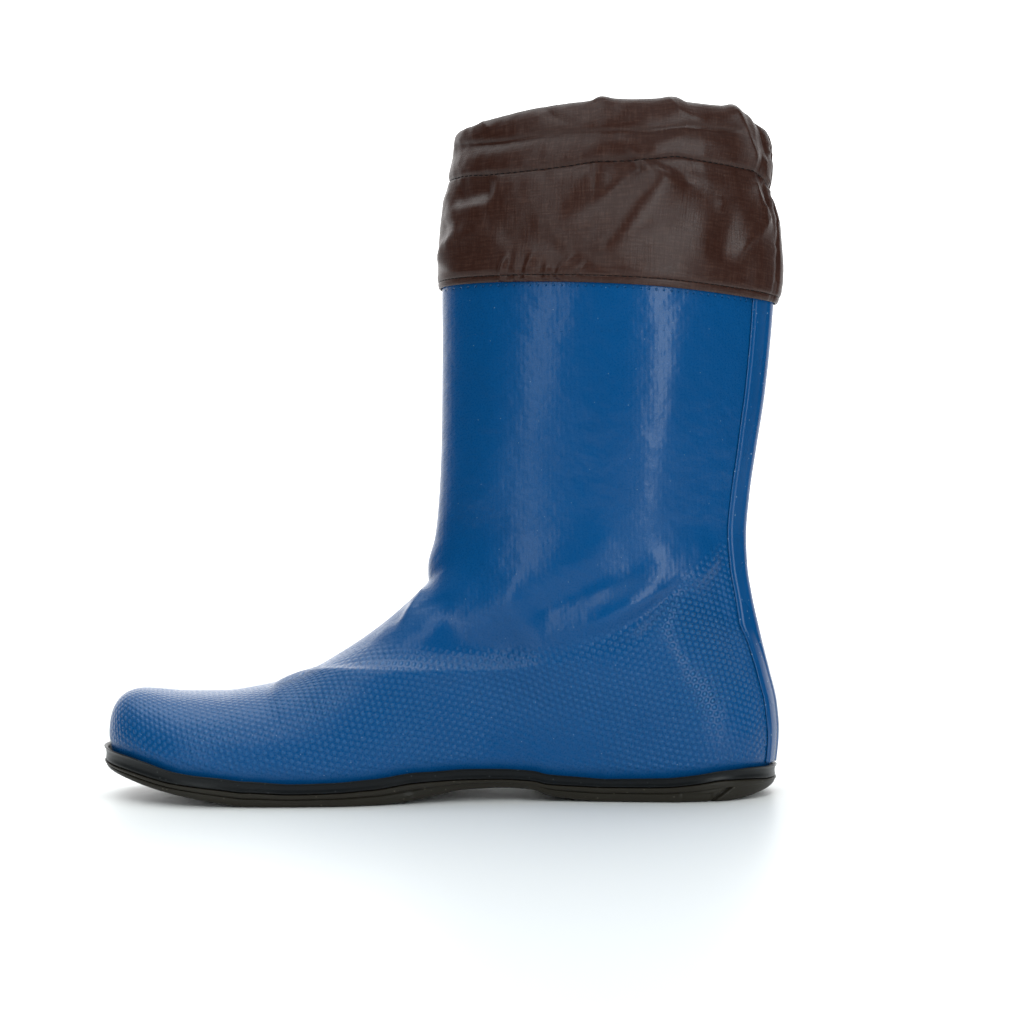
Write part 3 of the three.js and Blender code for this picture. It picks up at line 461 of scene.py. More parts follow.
def embossedRubber():
    material, tree = newMaterial("embossedRubber")
    uv = put(tree, "ShaderNodeUVMap", uv_map="clothMm").outputs["UV"]
    strength = put(tree, "ShaderNodeAttribute", attribute_name="emboss").outputs["Fac"]
    dust = put(tree, "ShaderNodeAttribute", attribute_name="dust").outputs["Fac"]
    needles = put(tree, "ShaderNodeAttribute", attribute_name="underHem").outputs["Fac"]
    total = None
    for angle in embossing["directions"]:
        turn = 2 * math.pi / embossing["pitch"]
        way = (turn * math.cos(math.radians(angle)), turn * math.sin(math.radians(angle)), 0)
        phase = put(tree, "ShaderNodeVectorMath", {0: uv, 1: way}, operation="DOT_PRODUCT")
        wave = put(tree, "ShaderNodeMath", {0: phase.outputs["Value"]}, operation="COSINE")
        if total:
            wave = put(tree, "ShaderNodeMath", {0: wave.outputs[0], 1: total.outputs[0]}, operation="ADD")
        total = wave
    raised = put(
        tree, "ShaderNodeMapRange", {"Value": total.outputs[0], "From Min": -1.2, "From Max": 2.7},
        interpolation_type="SMOOTHSTEP",
    )
    wear = put(tree, "ShaderNodeTexNoise", {"Vector": uv, "Scale": 0.05, "Detail": 2.0})
    worn = put(tree, "ShaderNodeMapRange", {"Value": wear.outputs["Fac"], "From Min": 0.3, "From Max": 0.7, "To Min": 0.6, "To Max": 1.1})
    strong = put(tree, "ShaderNodeMath", {0: strength, 1: worn.outputs[0]}, operation="MULTIPLY")
    height = put(tree, "ShaderNodeMath", {0: raised.outputs[0], 1: strong.outputs[0]}, operation="MULTIPLY")
    across = put(tree, "ShaderNodeSeparateXYZ", {"Vector": uv})
    phase = put(tree, "ShaderNodeMath", {0: across.outputs["X"], 1: 2 * math.pi / embossing["ribPitch"]}, operation="MULTIPLY")
    ribs = put(tree, "ShaderNodeMath", {0: phase.outputs[0]}, operation="SINE")
    weak = put(tree, "ShaderNodeMath", {0: 1.0, 1: strength}, operation="SUBTRACT", use_clamp=True)
    ribbed = put(tree, "ShaderNodeMath", {0: ribs.outputs[0], 1: weak.outputs[0]}, operation="MULTIPLY")
    grain = put(tree, "ShaderNodeTexNoise", {"Vector": uv, "Scale": 1 / embossing["grain"], "Detail": 3.0})
    uneven = put(tree, "ShaderNodeTexNoise", {"Vector": uv, "Scale": 0.11, "Detail": 2.0})
    beside = put(
        tree, "ShaderNodeMath", {0: across.outputs["X"], 1: embossing["needlePitch"] / 2}, operation="PINGPONG"
    )
    fromHole = put(tree, "ShaderNodeCombineXYZ", {"X": beside.outputs[0], "Y": needles})
    away = put(tree, "ShaderNodeVectorMath", {0: fromHole.outputs[0]}, operation="LENGTH")
    hole = put(tree, "ShaderNodeMapRange", {"Value": away.outputs["Value"], "From Min": 0.5, "From Max": 0.2})
    bump = None
    for value, distance, share in (
        (hole.outputs[0], -0.3e-3, 1.0),
        (uneven.outputs["Fac"], 1.6e-3, 0.35),
        (grain.outputs["Fac"], 0.1e-3, 0.3),
        (ribbed.outputs[0], 0.012e-3, 0.5),
        (height.outputs[0], embossing["dotHeight"] / 1000, 1.0),
    ):
        sockets = {"Height": value, "Distance": distance, "Strength": share}
        if bump:
            sockets["Normal"] = bump.outputs[0]
        bump = put(tree, "ShaderNodeBump", sockets)
    patches = put(tree, "ShaderNodeTexNoise", {"Vector": uv, "Scale": 0.025, "Detail": 3.0})
    tone = put(
        tree, "ShaderNodeMix",
        {0: patches.outputs["Fac"], 6: hexColour(embossing["deepColour"]), 7: hexColour(embossing["colour"])},
        data_type="RGBA",
    )
    # painted highlight: the raised dots are painted lighter by their height, towards the highlight colour
    dotHighlight = put(tree, "ShaderNodeMath", {0: height.outputs[0], 1: 0.36}, operation="MULTIPLY")
    lighter = put(
        tree, "ShaderNodeMix", {0: dotHighlight.outputs[0], 6: tone.outputs[2], 7: hexColour(embossing["wearAndHighlightColour"])},
        data_type="RGBA",
    )
    specks = put(tree, "ShaderNodeTexVoronoi", {"Vector": uv, "Scale": 0.06, "Randomness": 1.0}, voronoi_dimensions="2D")
    speck = put(tree, "ShaderNodeMapRange", {"Value": specks.outputs["Distance"], "From Min": 0.011, "From Max": 0.006})
    film = put(tree, "ShaderNodeMath", {0: dust, 1: 0.5}, operation="MULTIPLY")
    specked = put(tree, "ShaderNodeMath", {0: speck.outputs[0], 1: 0.5, 2: film.outputs[0]}, operation="MULTIPLY_ADD", use_clamp=True)
    dusty = put(
        tree, "ShaderNodeMix", {0: specked.outputs[0], 6: lighter.outputs[2], 7: hexColour(embossing["dustColour"])},
        data_type="RGBA",
    )
    gloss = put(
        tree, "ShaderNodeMapRange",
        {"Value": grain.outputs["Fac"], "To Min": embossing["roughness"] - 0.05, "To Max": embossing["roughness"] + 0.05},
    )
    shader = put(
        tree, "ShaderNodeBsdfPrincipled",
        {
            "Base Color": dusty.outputs[2],
            "Roughness": gloss.outputs[0],
            "IOR": 1.52,
            "Specular IOR Level": embossing["specular"],
            "Normal": bump.outputs[0],
        },
    )
    put(tree, "ShaderNodeOutputMaterial", {"Surface": shader.outputs[0]})
    return material


# A plain material for the smooth rubbers and the lining: two tones in soft patches, fine grain as a bump, and
# light specks of dust. Sizes are in mm, and read from the piece's own mesh.
plainFinishes = {
    # calendered strip of the same rubber, smooth
    "tapeRubber": {
        "tones": ("#03467c", "#044e87"), "specks": "#9fb9cd", "roughness": 0.27, "specular": 0.28, "grain": 0.6,
        "relief": 0.04,
    },
    # black vulcanised rubber from a mould, semi-gloss
    "foxingRubber": {
        "tones": ("#090c0e", "#0e1215"), "specks": "#45494a", "roughness": 0.34, "specular": 0.22, "grain": 0.5,
        "relief": 0.04,
    },
    # black-brown tread compound, matt and a little dusty
    "treadRubber": {
        "tones": ("#1c1912", "#27231a"), "specks": "#5d594e", "roughness": 0.45, "specular": 0.25, "grain": 0.45,
        "relief": 0.08,
    },
    # knitted cotton lining, dyed dark
    "insoleKnit": {
        "tones": ("#242526", "#303132"), "specks": "#4a4a48", "roughness": 0.9, "specular": 0.3, "grain": 1.1,
        "relief": 0.3,
    },
    "legLining": {
        "tones": ("#1b2431", "#232e3d"), "specks": "#3c4a5a", "roughness": 0.8, "specular": 0.3, "grain": 0.9,
        "relief": 0.2,
    },
    # spun polyester thread
    "darkThread": {
        "tones": ("#080505", "#0d0908"), "specks": "#251d1a", "roughness": 0.6, "specular": 0.2, "grain": 0.3,
        "relief": 0.05,
    },
}


def plainFinish(name):
    look = plainFinishes[name]
    material, tree = newMaterial(name)
    place = put(tree, "ShaderNodeTexCoord").outputs["Object"]
    grain = put(tree, "ShaderNodeTexNoise", {"Vector": place, "Scale": 1000 / look["grain"], "Detail": 3.0})
    patches = put(tree, "ShaderNodeTexNoise", {"Vector": place, "Scale": 45.0, "Detail": 3.0})
    tone = put(
        tree, "ShaderNodeMix",
        {0: patches.outputs["Fac"], 6: hexColour(look["tones"][0]), 7: hexColour(look["tones"][1])},
        data_type="RGBA",
    )
    cells = put(tree, "ShaderNodeTexVoronoi", {"Vector": place, "Scale": 330.0, "Randomness": 1.0})
    speck = put(tree, "ShaderNodeMapRange", {"Value": cells.outputs["Distance"], "From Min": 0.13, "From Max": 0.05, "To Max": 0.6})
    dusty = put(
        tree, "ShaderNodeMix", {0: speck.outputs[0], 6: tone.outputs[2], 7: hexColour(look["specks"])}, data_type="RGBA"
    )
    gloss = put(
        tree, "ShaderNodeMapRange",
        {"Value": patches.outputs["Fac"], "To Min": look["roughness"] - 0.08, "To Max": look["roughness"] + 0.08},
    )
    bump = put(tree, "ShaderNodeBump", {"Height": grain.outputs["Fac"], "Distance": look["relief"] / 1000, "Strength": 0.7})
    shader = put(
        tree, "ShaderNodeBsdfPrincipled",
        {
            "Base Color": dusty.outputs[2],
            "Roughness": gloss.outputs[0],
            "Specular IOR Level": look["specular"],
            "Normal": bump.outputs[0],
        },
    )
    put(tree, "ShaderNodeOutputMaterial", {"Surface": shader.outputs[0]})
    return material


# Plain-woven nylon, calendered on one side: satin, brighter along its folds. The threads are 0.3 mm apart and
# are drawn 0.9 mm apart, as coarse as they need to be to show.
nylon = {
    "warpColour": "#3d221a",
    "weftColour": "#28140e",
    # the colour of worn, faded streaks in the cloth
    "wearAndHighlightColour": "#533a31",
    "threadSpacing": 0.5,
    "threadHeight": 0.03,
    "roughness": 0.34,
    "specular": 0.25,
}


def cuffNylon():
    material, tree = newMaterial("cuffNylon")
    uv = put(tree, "ShaderNodeUVMap", uv_map="clothMm").outputs["UV"]
    part = put(tree, "ShaderNodeSeparateXYZ", {"Vector": uv})
    waves = []
    for axis in ("X", "Y"):
        phase = put(tree, "ShaderNodeMath", {0: part.outputs[axis], 1: 2 * math.pi / nylon["threadSpacing"]}, operation="MULTIPLY")
        waves.append(put(tree, "ShaderNodeMath", {0: phase.outputs[0]}, operation="SINE").outputs[0])
    checks = put(tree, "ShaderNodeMath", {0: waves[0], 1: waves[1]}, operation="MULTIPLY")
    streaks = []
    for stretch in ((0.13, 1.4, 1), (1.4, 0.13, 1)):
        drawn = put(tree, "ShaderNodeVectorMath", {0: uv, 1: stretch}, operation="MULTIPLY")
        streaks.append(put(tree, "ShaderNodeTexNoise", {"Vector": drawn.outputs[0], "Scale": 1.0, "Detail": 2.0}).outputs["Fac"])
    slubs = put(tree, "ShaderNodeMath", {0: streaks[0], 1: streaks[1]}, operation="ADD")
    patches = put(tree, "ShaderNodeTexNoise", {"Vector": uv, "Scale": 0.05, "Detail": 3.0})
    weave = put(tree, "ShaderNodeMapRange", {"Value": checks.outputs[0], "From Min": -1.0, "From Max": 1.0})
    tone = put(
        tree, "ShaderNodeMix",
        {0: weave.outputs[0], 6: hexColour(nylon["weftColour"]), 7: hexColour(nylon["warpColour"])}, data_type="RGBA",
    )
    faded = put(tree, "ShaderNodeMapRange", {"Value": slubs.outputs[0], "From Min": 0.95, "From Max": 1.45, "To Max": 0.6})
    lighter = put(
        tree, "ShaderNodeMix", {0: faded.outputs[0], 6: tone.outputs[2], 7: hexColour(nylon["wearAndHighlightColour"])}, data_type="RGBA"
    )
    cloth = put(tree, "ShaderNodeBump", {"Height": weave.outputs[0], "Distance": nylon["threadHeight"] / 1000, "Strength": 0.8})
    crumple = put(
        tree, "ShaderNodeBump",
        {"Height": slubs.outputs[0], "Distance": 0.12e-3, "Strength": 0.6, "Normal": cloth.outputs[0]},
    )
    gloss = put(
        tree, "ShaderNodeMapRange",
        {"Value": patches.outputs["Fac"], "To Min": nylon["roughness"] - 0.06, "To Max": nylon["roughness"] + 0.08},
    )
    shader = put(
        tree, "ShaderNodeBsdfPrincipled",
        {
            "Base Color": lighter.outputs[2],
            "Roughness": gloss.outputs[0],
            "IOR": 1.53,
            "Specular IOR Level": nylon["specular"],
            "Normal": crumple.outputs[0],
        },
    )
    put(tree, "ShaderNodeOutputMaterial", {"Surface": shader.outputs[0]})
    return material


rubber = embossedRubber()
cloth = cuffNylon()
finishes = {name: plainFinish(name) for name in plainFinishes}
print("boot: materials made")

# The upper: the last's surface with the creases of a boot that is folded away when it isn't worn. Each line
# runs through x and z in mm on the inner side. rise is the fold's height, wide its half widths to the left and
# right of the line's way, in mm.
upperShape = {
    "nearColumns": 176,
    "farColumns": 124,
    "rows": 226,
    "footWall": 2.0,
    "legWall": 1.4,
    "featherTuck": 1.1,
    "nearFolds": [
        # the long ridge over the side of the foot, with the hollow above it
        {"line": [(-68, 42), (-60, 45), (-38, 49.3), (-2, 50.2), (23, 50.8), (44, 53.5), (60, 57.5)], "rise": 2.5,
         "wide": (2.2, 6.5), "fade": (0.2, 0.35), "crisp": 1.3},
        {"line": [(-46, 54), (-22, 57), (0, 57.8), (22, 58.5), (40, 61.5)], "rise": -2.4, "wide": (9, 5.5)},
        # the crest that climbs to the heel, the trough under it and the edge of the triangle behind it
        {"line": [(40, 63), (58, 69), (70, 75), (89, 83), (101, 89), (113, 96)], "rise": 2.2, "wide": (9, 4.5),
         "fade": (0.3, 0.15), "crisp": 1.8},
        {"line": [(46, 57), (62, 62.5), (73.7, 68.5), (81, 73), (89, 79), (98, 86.5)], "rise": -2.0,
         "wide": (3.5, 5), "fade": (0.3, 0.15), "crisp": 1.7},
        {"line": [(72, 56), (79, 64), (88, 74), (97, 83), (106, 90)], "rise": 1.3, "wide": (3, 9),
         "fade": (0.35, 0.15), "crisp": 1.6},
        {"line": [(30, 71), (46, 77), (66, 85), (89, 96)], "rise": -1.8, "wide": (9, 6)},
        {"line": [(10, 74), (30, 81), (52, 91), (70, 103)], "rise": 1.1, "wide": (10, 9)},
        # the triangle over the heel
        {"line": [(97, 84), (92, 72), (91, 58), (96, 44)], "rise": 0.8, "wide": (8, 6)},
        {"line": [(106, 88), (112, 74), (116, 60), (119, 46)], "rise": -0.8, "wide": (6, 6)},
        # the pinch at the front of the ankle
        {"line": [(-6, 81.5), (-9, 76.5), (-13.5, 71.5), (-19, 67)], "rise": 1.3, "wide": (2, 3), "fade": (0.1, 0.5),
         "crisp": 1.4},
        {"line": [(-12, 77), (-16, 71), (-23, 65.5)], "rise": -0.8, "wide": (2, 2), "fade": (0.1, 0.5)},
        {"line": [(-2, 79), (1, 74), (6, 69), (14, 64)], "rise": -0.7, "wide": (5, 6), "fade": (0.2, 0.4)},
        {"line": [(4, 96), (14, 88), (30, 80)], "rise": -0.5, "wide": (7, 8)},
        # dents of the leg
        {"line": [(28, 196), (24, 160), (18, 130), (10, 104)], "rise": 0.7, "wide": (12, 12)},
        {"line": [(62, 196), (56, 150), (50, 110)], "rise": -0.5, "wide": (12, 12)},
        {"line": [(92, 198), (89, 160), (84, 120), (76, 98)], "rise": 0.7, "wide": (9, 10)},
        # waves at the front of the toe
        {"line": [(-112, 20), (-112, 34)], "rise": -0.4, "wide": (6, 6)},
    ],
    # the line over which the embossing runs out, as x and z, and where it stands out or is pressed flat
    "embossEdge": [
        (-140, 75), (-90, 70), (-68, 58), (-38, 57), (0, 56), (23, 56), (44, 58), (60, 62), (76, 67), (88, 77),
        (97, 86), (106, 94), (140, 112),
    ],
    "embossPatches": [
        {"line": [(-70, 38), (-30, 38), (5, 40)], "rise": 0.5, "wide": (9, 12)},
        {"line": [(92, 86), (102, 60), (112, 28)], "rise": 0.75, "wide": (12, 16)},
        {"line": [(-100, 25), (-70, 25)], "rise": 0.3, "wide": (9, 9)},
        {"line": [(5, 18), (40, 18), (72, 22)], "rise": -0.4, "wide": (12, 8)},
    ],
    "needlesUnderHem": 1.3,
    "farFolds": [
        {"line": [(-58, 46), (-30, 49), (4, 50), (34, 53), (60, 60)], "rise": 1.0, "wide": (3, 9), "fade": (0.2, 0.3)},
        {"line": [(-36, 57), (0, 59), (30, 60), (56, 67)], "rise": -1.6, "wide": (9, 6)},
        {"line": [(44, 62), (62, 70), (80, 80), (100, 90)], "rise": 1.4, "wide": (6, 4)},
        {"line": [(20, 68), (48, 77), (74, 90)], "rise": -1.2, "wide": (6, 7)},
        {"line": [(-4, 80), (2, 74), (14, 66)], "rise": -0.9, "wide": (4, 5)},
        {"line": [(30, 196), (26, 150), (18, 112)], "rise": 0.6, "wide": (12, 12)},
        {"line": [(88, 198), (86, 150), (76, 104)], "rise": 0.6, "wide": (10, 10)},
    ],
}


def upperRings():
    rows = np.linspace(0, 1, upperShape["rows"]) ** 1.12
    near = spreadRows(traceRows(rows, -1), np.linspace(0, 1, upperShape["nearColumns"] + 1))
    far = spreadRows(traceRows(rows, 1), np.linspace(0, 1, upperShape["farColumns"] + 1))
    return rows, closeRing(near, far)


cuffEdge = {"hemFront": 200.4, "hemBack": 195}


def hemZ(x):
    back = np.clip((x - last["legFront"]) / last["legDepth"], 0, 1)
    return mix(cuffEdge["hemFront"], cuffEdge["hemBack"], back)


# Where each point lies on the unrolled side, in mm: u by the length of the foot's outline, v by the length of
# the cross-section at that x, from the sole up
def unrolled(points, side):
    x = np.linspace(toeEnd + 0.02, last["heelBulge"] - 0.02, 400)
    outline = outlineHalf(x, side, last["heelBulge"])
    along = np.concatenate([[0], np.cumsum(np.hypot(np.diff(x), np.diff(outline)))])
    low, top = featherZ(x), np.where(x < frontX(0.4 * last["legHeight"]), footTopZ(x), last["legHeight"])
    z = mix(low[:, None], top[:, None], np.sin(np.linspace(0, np.pi / 2, 200))[None])
    half = upperHalf(x[:, None], z, side)
    step = np.hypot(np.diff(z, axis=1), np.diff(half, axis=1))
    up = np.concatenate([np.zeros((len(x), 1)), np.cumsum(step, 1)], 1)
    apart = 2 * last["legHeight"]  # keeps the columns' heights from meeting in one list
    known = (z + apart * np.arange(len(x))[:, None]).ravel()
    place = np.clip((points[..., 0] - x[0]) / (x[1] - x[0]), 0, len(x) - 1.001)
    column = place.astype(int)
    sides = []
    for k in (column, column + 1):
        height = np.clip(points[..., 2], z[k, 0], z[k, -1])
        sides.append(np.interp(height + apart * k, known, up.ravel()))
    v = mix(*sides, place - column)
    # near the middle of the foot's top, back from the middle
    aside = np.abs(points[..., 1] - middleY(points[..., 0]))
    under = mix(top[column], top[column + 1], place - column) - points[..., 2]
    total = mix(up[column, -1], up[column + 1, -1], place - column)
    onTop = smooth(18, 11, aside) * smooth(7, 3, under) * (points[..., 0] < frontX(0.4 * last["legHeight"]))
    return np.interp(points[..., 0], x, along), mix(v, total - aside, onTop)


def buildUpper():
    rows, rings = upperRings()
    out = ringNormals(rings)
    x, y, z = rings[..., 0], rings[..., 1], rings[..., 2]
    aside = y - middleY(x)
    nearShare, farShare = smooth(0, 14, -aside), smooth(0, 14, aside)
    height = sum(foldHeight(x, z, fold) for fold in upperShape["nearFolds"]) * nearShare
    height = height + sum(foldHeight(x, z, fold) for fold in upperShape["farFolds"]) * farShare
    height += 0.35 * unevenness(x, z + 0.7 * y, 46, 4) * smooth(20, 40, z)
    fixed = smooth(0, 0.05, rows)[:, None] * smooth(195, 180, z) * smooth(-118, -106, x)
    height *= fixed * smooth(21, 30, np.hypot(aside, np.maximum(backX(z) - x, 0) * 2.0))
    tuck = upperShape["featherTuck"] * (1 - smooth(0, 0.03, rows))[:, None, None]
    level = out * np.array([1, 1, 0])
    level /= np.maximum(np.linalg.norm(level, axis=2, keepdims=True), 1e-9)
    outer = rings + out * height[..., None] - level * tuck
    outNow = ringNormals(outer)
    wall = mix(upperShape["footWall"], upperShape["legWall"], smooth(0.2, 0.5, rows))[:, None, None]
    every = np.unique(np.concatenate([np.arange(0, len(rows), 5), [1, 2, len(rows) - 2, len(rows) - 1]]))
    inner = (rings + out * np.minimum(height, 0)[..., None] * 1.0 - level * tuck - out * wall)[every][::-1]
    shell = np.concatenate([outer, inner])
    nearCount, count = upperShape["nearColumns"], outer.shape[1]
    nearUv, farUv = unrolled(shell, -1), unrolled(shell, 1)
    near = np.arange(count) <= nearCount
    u, v = (np.where(near, a, b) for a, b in zip(nearUv, farUv))
    px, pz = shell[..., 0], shell[..., 2]
    edge = np.interp(px, *np.transpose(upperShape["embossEdge"]))
    emboss = 0.6 + sum(foldHeight(px, pz, patch) for patch in upperShape["embossPatches"])
    emboss = np.clip(emboss, 0.1, 1.3) * mix(0.05, 1, smooth(5, -2, pz - edge))
    emboss *= smooth(1.5, 4.5, pz - lipZ(px))
    underHem = np.where(pz > 180, pz - hemZ(px) + upperShape["needlesUnderHem"], 9)
    dust = 0.10 * smooth(0.2, 0.9, np.clip(ringNormals(shell)[..., 2], 0, 1))
    faces = ringFaces(len(shell), count, True)
    corner = ringUv(u, v, nearCount, len(shell), count, True)
    piece = addMesh("embossed_upper", shell, faces, rubber, corner, {"emboss": emboss, "dust": dust, "underHem": underHem})
    piece.data.materials.append(finishes["legLining"])
    slots = np.zeros(len(faces), np.int32)
    slots[len(outer) * count : -count] = 1
    piece.data.polygons.foreach_set("material_index", slots)
    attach(piece, "root")
    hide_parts("upper")
    return outer, outNow


upperOuter, upperOut = buildUpper()
print("boot: upper built")


# The outline of the foot over the foxing, with the same x on both sides, and rings set in or out from it
def featherRing(half):
    heelX = backX(lipZ(last["heelBulge"]))
    eased = (1 - np.cos(np.linspace(0, np.pi, 1601))) / 2
    x = mix(heelX, toeEnd, (1 - np.cos(np.pi * eased)) / 2)
    wide = outlineHalf(x, 1, heelX)
    wide[[0, -1]] = 0
    path = np.stack([x, wide, 0 * x], -1)[None]
    spread = spreadRows(path, np.linspace(0, 1, half + 1), 0.9)[0, :, 0]
    ring = []
    for side in (-1, 1):
        breadth = outlineHalf(spread, side, heelX)
        breadth[[0, -1]] = 0
        ring.append(np.stack([spread, middleY(spread) + side * breadth, 0 * spread], -1)[None])
    return closeRing(*ring)[0]


def insetRing(ring, distance):
    before, after = np.roll(ring, 1, 0), np.roll(ring, -1, 0)
    out = np.stack([before[:, 1] - after[:, 1], after[:, 0] - before[:, 0], 0 * ring[:, 0]], -1)
    out /= np.linalg.norm(out, axis=1, keepdims=True)
    return ring + out * np.broadcast_to(distance, len(ring))[:, None]


def atHeight(ring, height):
    return np.stack([ring[:, 0], ring[:, 1], height(ring[:, 0])], -1)


# A closed piece from a stack of rings whose two sides have the same x. Each end is closed by rungs across the
# ring, cut into steps, and shapeEnd may move the points of the last end's rungs.
def addStack(name, rings, material, endSteps=2, shapeEnd=None):
    count, half = len(rings[0]), len(rings[0]) // 2
    points, groups = [np.concatenate(rings)], [ringFaces(len(rings), count, False)]
    total = len(rings) * count
    for start, steps, last_ in ((0, 2, False), ((len(rings) - 1) * count, endSteps, True)):
        ring = rings[-1] if last_ else rings[0]
        near, far = ring[1:half], ring[:half:-1]
        grid = mix(near[:, None], far[:, None], np.linspace(0, 1, steps + 1)[None, 1:-1, None])
        if last_ and shapeEnd:
            grid = shapeEnd(grid)
        inner = total + np.arange(grid.shape[0] * grid.shape[1]).reshape(grid.shape[:2])
        k = np.arange(1, half)
        table = np.concatenate([(start + k)[:, None], inner, (start + count - k)[:, None]], 1)
        quads = np.stack([table[:-1, :-1], table[1:, :-1], table[1:, 1:], table[:-1, 1:]], -1).reshape(-1, 4)
        heel = np.stack([np.full(steps, start), table[0, :-1], table[0, 1:]], -1)
        toe = np.stack([table[-1, :-1], np.full(steps, start + half), table[-1, 1:]], -1)
        groups += [g if last_ else g[:, ::-1] for g in (quads, heel, toe)]
        points.append(grid.reshape(-1, 3))
        total += grid.shape[0] * grid.shape[1]
    return addMesh(name, np.concatenate(points), groups, material)


feather = featherRing(420)

# Foxing: a tray with a flared lip. The profile runs from the bottom edge up the outside, over the lip and down
# to the floor inside: out from the foot's outline in mm, and up as a share of the tray's height.
foxingShape = {
    "at": [0, 0.1, 0.2, 0.4, 0.55, 0.66, 0.74, 0.8, 0.84, 0.88, 0.92, 1],
    "out": [1.0, 1.2, 1.25, 1.12, 1.25, 1.5, 1.85, 1.95, 1.75, 1.3, 0.75, 0.32],
    "up": [0, 0.02, 0.12, 0.4, 0.66, 0.82, 0.92, 0.965, 1.0, 1.0, 0.97, 0.86],
    "rings": 26,
}


def buildFoxing():
    t = np.linspace(0, 1, foxingShape["rings"])
    outward, upward = curveOf(foxingShape, "out")(t), curveOf(foxingShape, "up")(t)
    rings = []
    for out, up in zip(outward, upward):
        ring = insetRing(feather, out)
        rings.append(atHeight(ring, lambda x, up=up: mix(partingZ(x) + last["seatGap"], lipZ(x), up)))
    rings.append(atHeight(insetRing(feather, last["seatGap"]), floorZ))
    piece = addStack("foxing_tray", rings, finishes["foxingRubber"])
    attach(piece, "root")
    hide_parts("foxing")


# Outsole: a ledge, a groove under it, then the tread plates. out from the foot's outline in mm, down as a share
# of the thickness at that place, groove as how far the table's step cuts in, in mm.
outsoleShape = {
    "at": [0, 0.06, 0.12, 0.24, 0.36, 0.42, 0.46, 0.52, 0.58, 0.7, 0.84, 0.92, 1],
    "out": [0.9, 1.5, 1.66, 1.6, 1.5, 1.4, 1.3, 1.3, 1.2, 0.95, 0.5, 0.0, -1.2],
    "down": [0, 0.03, 0.09, 0.2, 0.3, 0.33, 0.36, 0.4, 0.45, 0.66, 0.88, 0.96, 1],
    "groove": [0, 0, 0, 0, 0, 0.3, 0.75, 0.65, 0.25, 0, 0, 0, 0],
    "rings": 34,
    "recess": {"from": 93, "to": 105, "height": 3.6, "depth": 0.5},
    "notch": {"x": 105, "tilt": 0.9, "width": 1.1, "depth": 1.6},
    "waist": {"from": -7.5, "to": 37.5, "slant": 0.8, "depth": 0.7},
    "treadDepth": 1.5,
    "treadSlot": 2.2,
    "treadPitch": 9,
    "treadBorder": 9,
    "treadZones": [(0.1, 0.41), (0.715, 0.93)],
}


def window(low, high, soft, x):
    return smooth(low - soft, low + soft, x) * (1 - smooth(high - soft, high + soft, x))


def buildOutsole():
    t = np.linspace(0, 1, outsoleShape["rings"])
    profile = {name: curveOf(outsoleShape, name)(t) for name in ("out", "down", "groove")}
    recess, notch, waist = (outsoleShape[name] for name in ("recess", "notch", "waist"))
    rings = []
    for out, down, groove in zip(profile["out"], profile["down"], profile["groove"]):
        x = feather[:, 0]
        z = mix(partingZ(x), bottomZ(x), down)
        cut = groove * sole["step"](alongSole(x))
        below = smooth(0.3, 0.4, down)
        cut = cut + recess["depth"] * window(recess["from"], recess["to"], 0.3, x) * (1 - smooth(recess["height"] - 0.3, recess["height"] + 0.3, z))
        lean = x - notch["x"] - z * math.tan(notch["tilt"])
        cut = cut + notch["depth"] * window(-notch["width"], notch["width"], 0.25, lean) * below
        cut = cut + waist["depth"] * window(waist["from"], waist["to"], 0.35, x + waist["slant"] * z) * below
        rings.append(atHeight(insetRing(feather, out - cut), lambda x, down=down: mix(partingZ(x), bottomZ(x), down)))
    border = insetRing(feather, -outsoleShape["treadBorder"])
    half = len(border) // 2
    edges = [np.interp(-x_, -border[: half + 1, 0], border[: half + 1, 1]) for x_ in [rings[-1][:, 0]]]

    def tread(grid):
        x, y = grid[..., 0], grid[..., 1]
        near = np.interp(-x, -border[: half + 1, 0], border[: half + 1, 1])
        far = np.interp(x, border[half:, 0], border[half:, 1])
        inside = smooth(-0.2, 0.4, y - near) * smooth(-0.2, 0.4, far - y)
        deep = np.zeros_like(x)
        for start, end in outsoleShape["treadZones"]:
            first, final = (start - 0.5) * last["bootLength"], (end - 0.5) * last["bootLength"]
            count = int((final - first) // outsoleShape["treadPitch"])
            pitch = (final - first) / count
            nearest = first + pitch * np.clip(np.round((x - first) / pitch), 0, count)
            deep = np.maximum(deep, 1 - smooth(outsoleShape["treadSlot"] / 2 - 0.2, outsoleShape["treadSlot"] / 2 + 0.4, np.abs(x - nearest)))
        return np.stack([x, y, bottomZ(x) + outsoleShape["treadDepth"] * deep * inside], -1)

    piece = addStack("tread_sole", rings, finishes["treadRubber"], 72, tread)
    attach(piece, "root")
    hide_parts("outsole")


buildFoxing()
buildOutsole()
print("boot: foxing and outsole built")

# The tape over the back seam: a strip of the smooth rubber that follows the heel, with a thinner flange along
# its edges and the lap of the two panels showing through its middle
tapeShape = {
    "at": [0, 0.14, 0.2, 0.255, 0.31, 0.37, 0.43, 0.5, 0.62, 0.75, 1],
    "breadth": [1.04, 1.09, 1.02, 0.88, 0.7, 0.65, 0.68, 0.74, 0.78, 0.88, 0.96],
    "width": 29,
    "thickness": 0.8,
    "flange": 1.3,
    "lapWidth": 12,
    "lapHeight": 0.4,
    "rows": 190,
    "across": 56,
    "low": 12.8,
    "high": 200.9,
}


# The outside of the upper at given y and z behind the leg's middle, found by halving the way along x
def heelSurface(y, z):
    side = np.where(y - 0.0 < 0, -1.0, 1.0)
    low, high = backX(z) - 60, backX(z) + 0 * y
    for _ in range(40):
        middle = (low + high) / 2
        outside = np.abs(y - middleY(middle)) > upperHalf(middle, z, side)
        low, high = np.where(outside, low, middle), np.where(outside, middle, high)
    return np.stack([low, y, z], -1)


